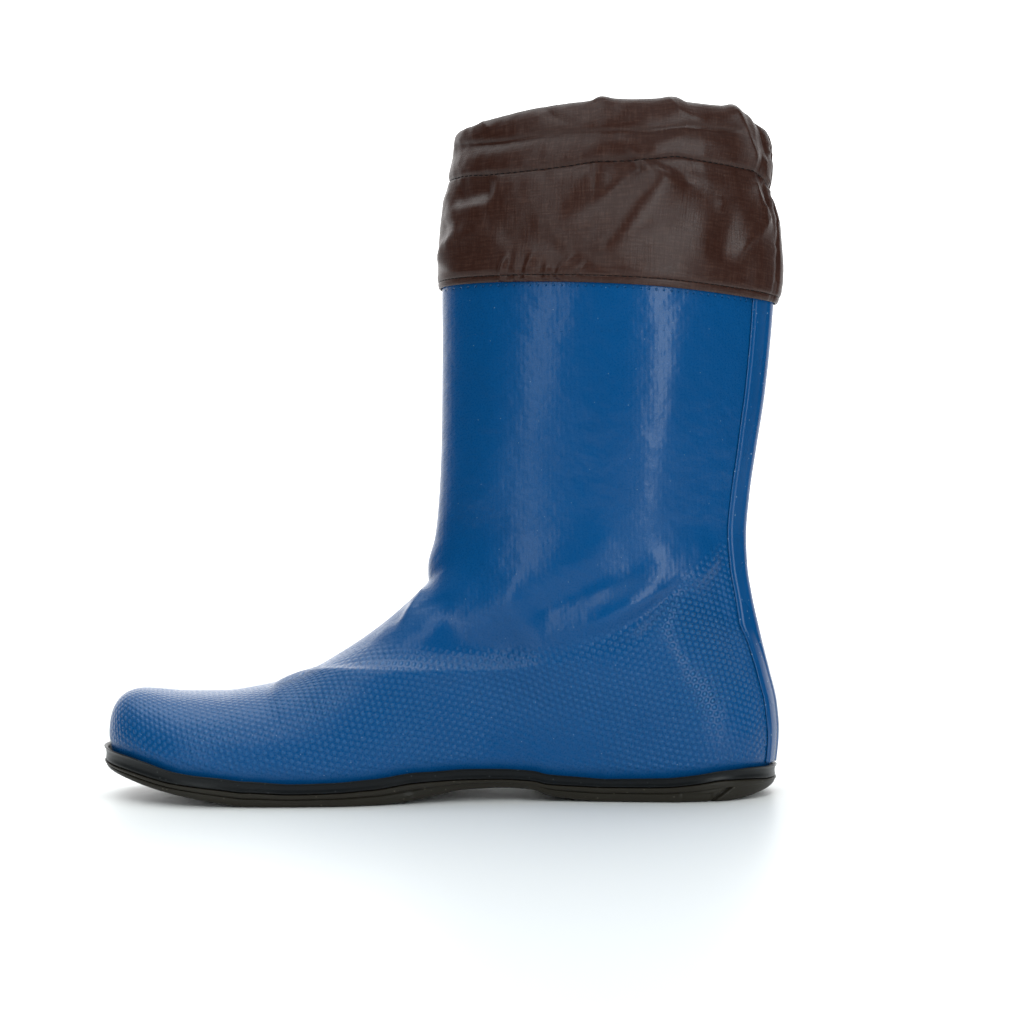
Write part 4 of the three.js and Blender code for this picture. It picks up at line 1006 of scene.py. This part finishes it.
def buildTape():
    shape = tapeShape
    z = np.linspace(shape["low"], shape["high"], shape["rows"])[:, None]
    half = shape["width"] * curveOf(shape, "breadth")(z / last["legHeight"]) / 2
    spread = np.sin(np.linspace(-1, 1, shape["across"]) * np.pi / 2)[None]
    y = half * np.sign(spread) * np.abs(spread)
    z = z + 0 * y
    base = heelSurface(y, z)
    d = 0.4
    overY = heelSurface(y + d, z) - heelSurface(y - d, z)
    overZ = heelSurface(y, z + d) - heelSurface(y, z - d)
    out = np.cross(overY, overZ)
    out /= np.linalg.norm(out, axis=2, keepdims=True)
    out *= np.sign(out[..., :1] + 1e-9)
    inFromEdge = half - np.abs(y)
    thick = shape["thickness"] * mix(0.45, 1, smooth(shape["flange"] - 0.25, shape["flange"] + 0.25, inFromEdge))
    thick = thick * np.sqrt(np.clip(inFromEdge / 0.35, 0.02, 1))
    lapHalf = half * shape["lapWidth"] / shape["width"]
    thick += shape["lapHeight"] * (1 - smooth(-0.5, 0.5, np.abs(y + 0.5) - lapHalf))
    outer = base + out * (last["seatGap"] + thick)[..., None]
    inner = base + out * last["seatGap"]
    rows, across = z.shape
    points = np.concatenate([outer.reshape(-1, 3), inner.reshape(-1, 3)])
    index = np.arange(rows * across).reshape(rows, across)
    under = index + rows * across
    sheet = lambda a: np.stack([a[:-1, :-1], a[:-1, 1:], a[1:, 1:], a[1:, :-1]], -1).reshape(-1, 4)
    strip = lambda a, b: np.stack([a[:-1], a[1:], b[1:], b[:-1]], -1)
    faces = [sheet(index), sheet(under)[:, ::-1]]
    faces += [strip(index[0], under[0])[:, ::-1], strip(index[-1], under[-1])]
    faces += [strip(index[:, 0], under[:, 0]), strip(index[:, -1], under[:, -1])[:, ::-1]]
    piece = addMesh("seam_tape", points, faces, finishes["tapeRubber"])
    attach(piece, "root")
    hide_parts("back_tape")


buildTape()
print("boot: tape built")

# The cuff: one sheet of nylon sewn into a sleeve. Its profile starts inside the turned-up hem, goes round the
# hem's fold, up the outside, over the top of the casing and down inside it to the casing's stitching.
cuffShape = {
    "top": 267.6,
    "height": 67.2,
    "stitchHeight": 42.2,
    "cloth": 0.5,
    "nearColumns": 330,
    "farColumns": 156,
    # height over the hem and distance from the leg, in mm, along the middle of the cloth
    "profile": [
        (5, 0.62), (3, 0.6), (1, 0.6), (0.4, 0.66), (0.12, 0.88), (0.4, 1.08), (1, 1.2), (1.9, 1.2), (2.45, 0.85),
        (3, 1.3), (4.6, 1.34), (5.6, 1.12), (7.5, 1.0), (12, 1.0), (20, 1.0), (30, 1.0), (37, 1.0), (40.6, 1.0),
        (41.7, 0.75), (42.2, 0.4), (42.8, 0.8), (44, 1.4), (46.5, 1.8), (50, 1.95), (54, 1.75), (56, 1.7),
        (59, 1.9), (62.5, 2.0), (65, 1.85), (66.5, 1.4), (67.1, 0.8), (66.5, 0.2), (65, -0.1), (60, -0.1),
        (50, -0.1), (44, 0.0), (42.2, 0.1), (40.5, 0.15),
    ],
    "sections": {
        "at": [0, 0.125, 0.25, 0.42, 0.56, 0.63, 0.7, 0.82, 0.92, 1],
        "front": [0, 0.002, 0.006, 0.012, 0.016, 0.023, 0.034, 0.05, 0.054, 0.057],
        "back": [0, -0.009, -0.01, -0.009, -0.004, 0.004, 0.014, 0.014, 0.016, 0.028],
        "breadth": [0, 0.002, 0.004, 0.002, -0.004, -0.014, -0.022, -0.03, -0.044, -0.065],
        "bulge": [0, 0.14, 0.2, 0.2, 0.1, 0, 0.1, 0.12, 0.08, 0.0],
    },
    # the heights of the rim and of the casing's stitching, both by share of the way back
    "rim": {
        "at": [0, 0.06, 0.14, 0.25, 0.36, 0.42, 0.45, 0.49, 0.54, 0.6, 0.652, 0.69, 0.74, 0.8, 0.845, 0.88, 0.93, 1],
        "z": [262.2, 262.6, 264, 265.6, 266.8, 267.4, 268.8, 268, 267.8, 268.4, 269.4, 267.9, 267.8, 268, 269,
              267.2, 265.6, 262.3],
    },
    "stitch": {
        "at": [0, 0.03, 0.18, 0.32, 0.45, 0.59, 0.66, 0.73, 0.84, 0.94, 0.985, 1],
        "z": [242.8, 242.6, 241, 241.8, 243.6, 244.7, 246.2, 245.3, 244.7, 243.8, 240, 238.5],
    },
    "nearFolds": [
        # the broad light fold from the casing down to the hem's middle: its lower right edge is its crest
        {"line": [(87, 242), (83, 235), (72, 222.5), (64.5, 211), (60, 204)], "rise": 2.8, "wide": (8, 6),
         "fade": (0.15, 0.25), "crisp": 1.8},
        {"line": [(79, 243), (68.5, 234.5), (57.5, 227.3), (42.8, 219)], "rise": -2.2, "wide": (4, 8),
         "fade": (0.1, 0.3), "crisp": 1.4},
        {"line": [(66, 213), (74, 219), (83, 222), (95, 223)], "rise": 0.6, "wide": (3, 2), "crisp": 1.4},
        {"line": [(50, 207.5), (41.4, 213.2), (32.2, 214.7), (23, 214)], "rise": -1.5, "wide": (3, 3.5), "crisp": 1.4},
        # the upright edge under the casing
        {"line": [(59.2, 243.5), (59.9, 235.7), (60.4, 228)], "rise": 0.7, "wide": (5, 1.3), "fade": (0.05, 0.5),
         "crisp": 1.4},
        # the hollow at the front with its light crescent, and the long light line under it
        {"line": [(5, 233), (11, 234.5), (17, 235), (24, 234.3)], "rise": -2.7, "wide": (5, 4)},
        {"line": [(2, 225), (8.7, 228.6), (14.5, 229), (21, 227)], "rise": 1.2, "wide": (2.5, 4), "crisp": 1.3},
        {"line": [(-1, 209), (3.8, 215.1), (7.8, 218.2), (15.5, 220.6), (23, 223.5)], "rise": 1.7, "wide": (3, 5),
         "fade": (0.1, 0.3), "crisp": 1.2},
        {"line": [(1.5, 217.5), (5, 225.6)], "rise": -0.9, "wide": (3, 3)},
        {"line": [(22, 217.5), (31.3, 219.5), (40, 220.2)], "rise": -0.8, "wide": (1.2, 1.6), "crisp": 1.2},
        {"line": [(0, 207), (15.5, 205.6), (36, 205)], "rise": 0.7, "wide": (3, 2.5)},
        # creases towards the back
        {"line": [(88, 240.5), (95.8, 236.2), (101.5, 234.2), (108.4, 233), (116, 233)], "rise": -0.9,
         "wide": (1.1, 2.2), "fade": (0.2, 0.1), "crisp": 1.2},
        {"line": [(117, 233.2), (109.4, 230.8), (104.5, 226)], "rise": 1.4, "wide": (2, 2), "crisp": 1.2},
        {"line": [(113, 231), (110.5, 219.5), (107, 206)], "rise": -1.3, "wide": (4, 6)},
        {"line": [(103.5, 229), (101.5, 218.8), (99.5, 205)], "rise": 0.7, "wide": (3, 7)},
        {"line": [(129.5, 230.5), (124, 222.1), (117.8, 216.2), (113, 207)], "rise": 1.8, "wide": (2, 3),
         "fade": (0.1, 0.3), "crisp": 1.1},
        {"line": [(121, 242), (123, 234.4), (128.5, 227.5)], "rise": 1.7, "wide": (1.4, 2.2), "crisp": 1.2},
        {"line": [(126, 243), (127.6, 233.4), (130, 224)], "rise": -1.3, "wide": (1.3, 1.3), "crisp": 1.2},
        # the hem's puckers
        {"line": [(24.5, 199.5), (25.8, 205.9), (29, 211)], "rise": 0.9, "wide": (0.7, 1.5), "fade": (0.02, 0.5),
         "crisp": 1.2},
        {"line": [(30, 199.5), (31.4, 205)], "rise": 0.5, "wide": (0.7, 1), "fade": (0.02, 0.6), "crisp": 1.2},
        {"line": [(33.8, 199.5), (35, 205.7), (38, 211)], "rise": 1.0, "wide": (0.7, 1.6), "fade": (0.02, 0.5),
         "crisp": 1.2},
        {"line": [(41.5, 199.5), (42.4, 206)], "rise": 0.8, "wide": (0.7, 1.3), "fade": (0.02, 0.5), "crisp": 1.2},
        {"line": [(45.6, 199.5), (48, 204.8), (56, 209.6)], "rise": 1.2, "wide": (0.8, 1.8), "fade": (0.02, 0.4),
         "crisp": 1.2},
        {"line": [(52, 199.5), (58, 207)], "rise": 0.7, "wide": (0.8, 1.4), "fade": (0.02, 0.5), "crisp": 1.2},
        # the casing: hollow beside the flat band inside it, small peaks of the rim
        {"line": [(5, 256.5), (24.8, 253.5), (43, 254.6), (75, 255), (94, 257.9), (108, 258), (119, 259)],
         "rise": -1.6, "wide": (1.2, 3), "fade": (0.06, 0.1), "crisp": 1.3},
        {"line": [(17, 265), (22, 258)], "rise": 1.0, "wide": (2, 2.4), "crisp": 1.2},
        {"line": [(40, 267), (45, 261), (55, 257)], "rise": -0.7, "wide": (2, 2), "crisp": 1.2},
        {"line": [(60, 271), (61, 266)], "rise": 0.6, "wide": (2, 2.4), "crisp": 1.2},
        {"line": [(86, 271), (92, 263), (104, 260)], "rise": 0.8, "wide": (2, 2.4), "crisp": 1.2},
        {"line": [(110, 271), (116, 262), (120, 252), (121, 245)], "rise": 1.4, "wide": (2, 2.6), "crisp": 1.2},
        {"line": [(122, 268), (125, 258), (127, 248)], "rise": -1.2, "wide": (1.4, 1.6), "crisp": 1.2},
    ],
    "puckerSeed": 11,
}
cuffLine = {name: curveOf(cuffShape["sections"], name) for name in ("front", "back", "breadth", "bulge")}


# The cuff's form at shares of its height: the leg's oval, changed by the cuff's own table, rising from the hem
# to the rim by measure along each column
def cuffForm(up):
    level = mix(cuffEdge["hemFront"], cuffShape["top"], up) / last["legHeight"]
    fore = last["legFront"] + last["legDepth"] * (leg["front"](level) + cuffLine["front"](up))
    rear = last["heelBulge"] + last["legDepth"] * (leg["back"](level) - cuffLine["back"](up))
    eased = (1 - np.cos(np.linspace(0, np.pi, 241))) / 2
    share = np.cos(np.pi * eased)[None]
    pinch = np.where(share > 0, mix(0.5, 0.2, smooth(0.1, 0.8, up))[:, None], 0.1)
    wide = last["legBreadth"] * (leg["breadth"](level) + cuffLine["breadth"](up))[:, None] * np.sqrt(1 - share**2)
    x = (rear + fore)[:, None] / 2 + share * (rear - fore)[:, None] / 2
    half = wide * (1 - pinch * share**2)
    sides = []
    for side, columns in ((-1, cuffShape["nearColumns"]), (1, cuffShape["farColumns"])):
        sides.append(spreadRows(np.stack([x, side * half, 0 * x], -1), np.linspace(0, 1, columns + 1), 0.9))
    rings = closeRing(*sides)
    back = np.clip((rings[0, :, 0] - last["legFront"]) / last["legDepth"], 0, 1)
    rim = curveOf(cuffShape["rim"], "z")(back)
    low = hemZ(rings[0, :, 0])
    rings[..., 2] = mix(low[None], rim[None], up[:, None])
    stitch = (curveOf(cuffShape["stitch"], "z")(back) - low) / (rim - low)
    return rings, stitch


def cuffRelief(place, back, stitchUp, up):
    x, y, z = place[..., 0], place[..., 1], place[..., 2]
    near, far = smooth(0, 10, -y), smooth(0, 10, y)
    relief = sum(foldHeight(x, z, fold) for fold in cuffShape["nearFolds"]) * near
    turned = [dict(fold, line=[(132 - a, b) for a, b in fold["line"]], wide=fold["wide"][::-1]) for fold in cuffShape["nearFolds"][:8]]
    relief = relief + 0.8 * sum(foldHeight(x, z, fold) for fold in turned) * far
    free = smooth(0.12, 0.3, up)[:, None]
    relief = relief + 0.35 * unevenness(x + 0.4 * y, z, 22, 5) * free + 0.18 * unevenness(x - y, z, 9, 6) * free
    # gathers: short upright folds that start at the casing's stitching, deepest at the back
    along = np.cumsum(np.concatenate([np.zeros((len(x), 1)), np.hypot(np.diff(x), np.diff(y))], 1), 1)
    chance = np.random.default_rng(cuffShape["puckerSeed"])
    steps = chance.uniform(3.2, 7.0, 120)
    knots = np.concatenate([[0], np.cumsum(steps)])
    depth = chance.uniform(-1, 1, len(knots))
    toEnd = along[:, -1:] + 1 - along
    pucker = mix(np.interp(along, knots, depth), depth[0], smooth(8, 0, toEnd))
    fromStitch = (up[:, None] - stitchUp[None]) * cuffShape["height"]
    atStitch = np.exp(-((np.minimum(fromStitch, 0) / 6) ** 2)) * np.exp(-((np.maximum(fromStitch, 0) / 7) ** 2))
    bunched = smooth(112, 124, x)
    relief = relief + pucker * atStitch * mix(0.32, 1.0, bunched)
    relief = relief + pucker * bunched * 0.7 * smooth(-14, 2, fromStitch)
    hemPuckers = np.interp(along, knots * 0.62, depth)
    atHem = np.exp(-((up[:, None] * cuffShape["height"] - 6) / 5) ** 2) * window(20, 52, 6, x) * near
    relief = relief + 0.55 * hemPuckers * atHem
    seam = np.abs(y + 7.2)
    seamed = 0.35 * np.sin(z * 1.3 + 2 * np.sin(z * 0.37)) * np.exp(-((seam / 3) ** 2)) * free
    relief = relief + bunched * near * (seamed - 0.9 * np.exp(-((seam / 1.1) ** 2)))
    return np.maximum(relief, -mix(0.25, 4, smooth(0.1, 0.22, up))[:, None])  # clear of the rubber behind the hem


# Small stitches along a line: each a short rod with rounded ends, of six sides
def addStitches(name, line, outward, pitch, long, thick, gap=0.0, wobble=0.0, seed=3):
    size = np.concatenate([[0], np.cumsum(np.linalg.norm(np.diff(line, axis=0), axis=1))])
    count = int((size[-1] - gap) // pitch)
    chance = np.random.default_rng(seed)
    middle = (np.arange(count) + 0.5) * pitch + chance.uniform(-0.12, 0.12, count)
    at = lambda s, a: np.stack([np.interp(s, size, a[:, i]) for i in range(3)], -1)
    way = at(middle + long / 2, line) - at(middle - long / 2, line)
    way /= np.linalg.norm(way, axis=1, keepdims=True)
    out = at(middle, outward)
    out -= (out * way).sum(1, keepdims=True) * way
    out /= np.linalg.norm(out, axis=1, keepdims=True)
    beside = np.cross(way, out)
    way = way + beside * chance.uniform(-wobble, wobble, count)[:, None]
    sections = [(-0.5, 0.02), (-0.42, 0.75), (-0.15, 1), (0.15, 1), (0.42, 0.75), (0.5, 0.02)]
    turn = np.linspace(0, 2 * np.pi, 6, endpoint=False)
    rings = []
    for along, wide in sections:
        circle = np.cos(turn)[None, :, None] * out[:, None] * 0.8 + np.sin(turn)[None, :, None] * beside[:, None]
        sink = -0.1 * abs(along) * 2
        rings.append(at(middle, line)[:, None] + (way * along * long)[:, None] + circle * thick / 2 * wide + out[:, None] * (sink + thick * 0.2))
    points = np.stack(rings, 1)
    faces = ringFaces(len(sections), 6, False)
    ends = np.array([[5, 4, 3, 2, 1, 0], [30, 31, 32, 33, 34, 35]])
    start = (np.arange(count) * 36)[:, None, None]
    groups = [(start + faces[None]).reshape(-1, 4), (start + ends[None]).reshape(-1, 6)]
    piece = addMesh(name, points.reshape(-1, 3), groups, finishes["darkThread"])
    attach(piece, "root")
    return piece


def buildCuff():
    up = np.linspace(0, 1, 140)
    rings, stitch = cuffForm(up)
    out = ringNormals(rings)
    back = rings[0, :, 0]
    relief = cuffRelief(rings, back, stitch, up)
    beside = smooth(14.5, 21.75, np.abs(rings[..., 1]))
    atBack = (rings[..., 0] > 70) * (1 - beside)
    overTape = 1.3 * atBack * (1 - smooth(0.1, 0.5, up))[:, None]
    lift = overTape + 5 * cuffLine["bulge"](up)[:, None] + relief
    nominal = cuffShape["stitchHeight"] / cuffShape["height"]
    path = smoothLine(cuffShape["profile"], 148)
    step = np.gradient(path, axis=0)
    side = np.stack([-step[:, 1], step[:, 0]], 1) / np.linalg.norm(step, axis=1, keepdims=True)
    long = np.concatenate([[0], np.cumsum(np.linalg.norm(np.diff(path, axis=0), axis=1))])
    # the cloth's hidden face has fewer rows: one for each 3.5 mm or half a radian of bend
    bend = np.abs(np.diff(np.unwrap(np.arctan2(step[:, 1], step[:, 0])), prepend=0))
    measure = np.floor(long / 3.5 + np.cumsum(bend) / 0.5)
    hidden = np.unique(np.concatenate([[0], np.flatnonzero(np.diff(measure)) + 1, [len(path) - 1]]))[::-1]
    loop = np.concatenate([path + side * cuffShape["cloth"] / 2, (path - side * cuffShape["cloth"] / 2)[hidden]])
    share = loop[:, 0] / cuffShape["height"]
    wanted = np.where(
        share[:, None] < nominal,
        share[:, None] / nominal * stitch[None],
        stitch[None] + (share[:, None] - nominal) / (1 - nominal) * (1 - stitch[None]),
    )
    place = np.clip(wanted, 0, 1) * (len(up) - 1)
    k = np.minimum(place.astype(int), len(up) - 2)
    f = (place - k)[..., None]
    column = np.arange(rings.shape[1])[None]
    take = lambda grid: mix(grid[k, column], grid[k + 1, column], f)
    normal = take(out)
    extra = take(lift[..., None])
    low = np.minimum(wanted, 0)[..., None] * np.array([0, 0, cuffShape["height"]])
    high = np.maximum(wanted - 1, 0)[..., None] * np.array([0, 0, cuffShape["height"]])
    shell = take(rings) + low + high + normal * (loop[:, 1][:, None, None] + extra)
    v = np.concatenate([long, long[hidden]])[:, None] + 0 * shell[..., 0]
    around = np.linalg.norm(np.diff(np.concatenate([rings[40], rings[40][:1]]), axis=0), axis=1)
    u = np.concatenate([[0], np.cumsum(around)[:-1]])[None] + 0 * v
    count = shell.shape[1]
    faces = ringFaces(len(shell), count, True)
    piece = addMesh("nylon_cuff", shell, faces, cloth, ringUv(u, v, count, len(shell), count, True))
    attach(piece, "root")
    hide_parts("cuff")
    outer = shell[: len(path)]
    outerNormal = normal[: len(path)]
    def seam(height, start):
        row = start + np.abs(path[start:, 0] - height)[: 101 - start].argmin()
        line = np.concatenate([outer[row], outer[row][:1]])
        return line, np.concatenate([outerNormal[row], outerNormal[row][:1]])
    turn = path[:, 0].argmin()
    hem = addStitches("hem_stitches", *seam(2.45, turn), 2.7, 2.15, 0.5)
    casing = addStitches("casing_stitches", *seam(42.2, turn + 16), 2.8, 2.1, 0.55, wobble=0.12)


buildCuff()
print("boot: cuff and stitches built")

for name, finish in (("insole", "insoleKnit"),):
    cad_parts[name].data.materials.clear()
    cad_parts[name].data.materials.append(finishes[finish])

studio = {
    "floorColour": "#f6f7f6",
    "lampColour": "#f3fafb",
    "floorReach": (0.42, 1.1),  # metres from the boot where the floor begins to fade into the backdrop, and ends
    "lamps": [
        # name, place, aim, width, height in metres, watts
        ("topBox", (-0.1, 0.32, 1.35), (0, 0, 0.0), 1.8, 1.0, 14),
        ("overFront", (-0.4, -1.05, 1.3), (0, 0, 0.1), 1.0, 0.6, 6),
        ("rightStrip", (0.95, -0.9, 0.3), (0.05, 0, 0.16), 0.24, 1.2, 9),
        ("leftStrip", (-0.62, -1.1, 0.4), (0.03, 0, 0.16), 0.3, 0.9, 3.5),
    ],
    # the white room: how bright it is in front (-Y), behind (+Y) and overhead
    "front": 0.03,
    "behind": 2.0,
    "behindFrom": (0.4, 0.9),  # how far round towards +Y it begins and is full
    "overhead": 0.7,
}


def buildStudio():
    mesh = bpy.data.meshes.new("floor")
    mesh.from_pydata([(-3, -3, 0), (3, -3, 0), (3, 3, 0), (-3, 3, 0)], [], [(0, 1, 2, 3)])
    material, tree = newMaterial("whiteFloor")
    place = put(tree, "ShaderNodeTexCoord").outputs["Object"]
    away = put(tree, "ShaderNodeVectorMath", {0: place}, operation="LENGTH")
    low, high = studio["floorReach"]
    fade = put(
        tree, "ShaderNodeMapRange", {"Value": away.outputs["Value"], "From Min": low, "From Max": high}, interpolation_type="SMOOTHSTEP"
    )
    shader = put(tree, "ShaderNodeBsdfPrincipled", {"Base Color": hexColour(studio["floorColour"]), "Roughness": 0.4})
    clear = put(tree, "ShaderNodeBsdfTransparent")
    both = put(tree, "ShaderNodeMixShader", {0: fade.outputs[0], 1: shader.outputs[0], 2: clear.outputs[0]})
    put(tree, "ShaderNodeOutputMaterial", {"Surface": both.outputs[0]})
    mesh.materials.append(material)
    floor = bpy.data.objects.new("floor", mesh)
    bpy.context.scene.collection.objects.link(floor)
    for name, place, aim, width, height, watts in studio["lamps"]:
        data = bpy.data.lights.new(name, "AREA")
        data.shape = "RECTANGLE"
        data.size, data.size_y, data.energy = width, height, watts
        data.color = hexColour(studio["lampColour"])[:3]
        lamp = bpy.data.objects.new(name, data)
        lamp.location = place
        way = np.array(aim) - np.array(place)
        lamp.rotation_euler = (math.acos(-way[2] / np.linalg.norm(way)), 0, math.atan2(way[1], way[0]) - math.pi / 2)
        bpy.context.scene.collection.objects.link(lamp)
    world = bpy.data.worlds.new("studio")
    bpy.context.scene.world = world
    world.use_nodes = True
    tree = world.node_tree
    tree.nodes.clear()
    part = put(tree, "ShaderNodeSeparateXYZ", {"Vector": put(tree, "ShaderNodeTexCoord").outputs["Generated"]})
    start, full = studio["behindFrom"]
    behind = put(
        tree, "ShaderNodeMapRange",
        {"Value": part.outputs["Y"], "From Min": start, "From Max": full, "To Min": studio["front"], "To Max": studio["behind"]},
    )
    above = put(
        tree, "ShaderNodeMapRange",
        {"Value": part.outputs["Z"], "From Min": 0.55, "From Max": 0.95, "To Min": 0.0, "To Max": studio["overhead"]},
    )
    both = put(tree, "ShaderNodeMath", {0: behind.outputs[0], 1: above.outputs[0]}, operation="MAXIMUM")
    seen = put(tree, "ShaderNodeLightPath").outputs["Is Camera Ray"]
    level = put(tree, "ShaderNodeMath", {0: both.outputs[0], 1: seen}, operation="MAXIMUM")
    shader = put(tree, "ShaderNodeBackground", {"Color": (1, 1, 1, 1), "Strength": level.outputs[0]})
    put(tree, "ShaderNodeOutputWorld", {"Surface": shader.outputs[0]})
    bpy.context.scene.view_settings.view_transform = "Standard"
    bpy.context.scene.view_settings.look = "None"


buildStudio()
print("boot: studio built")

print("boot: finished")
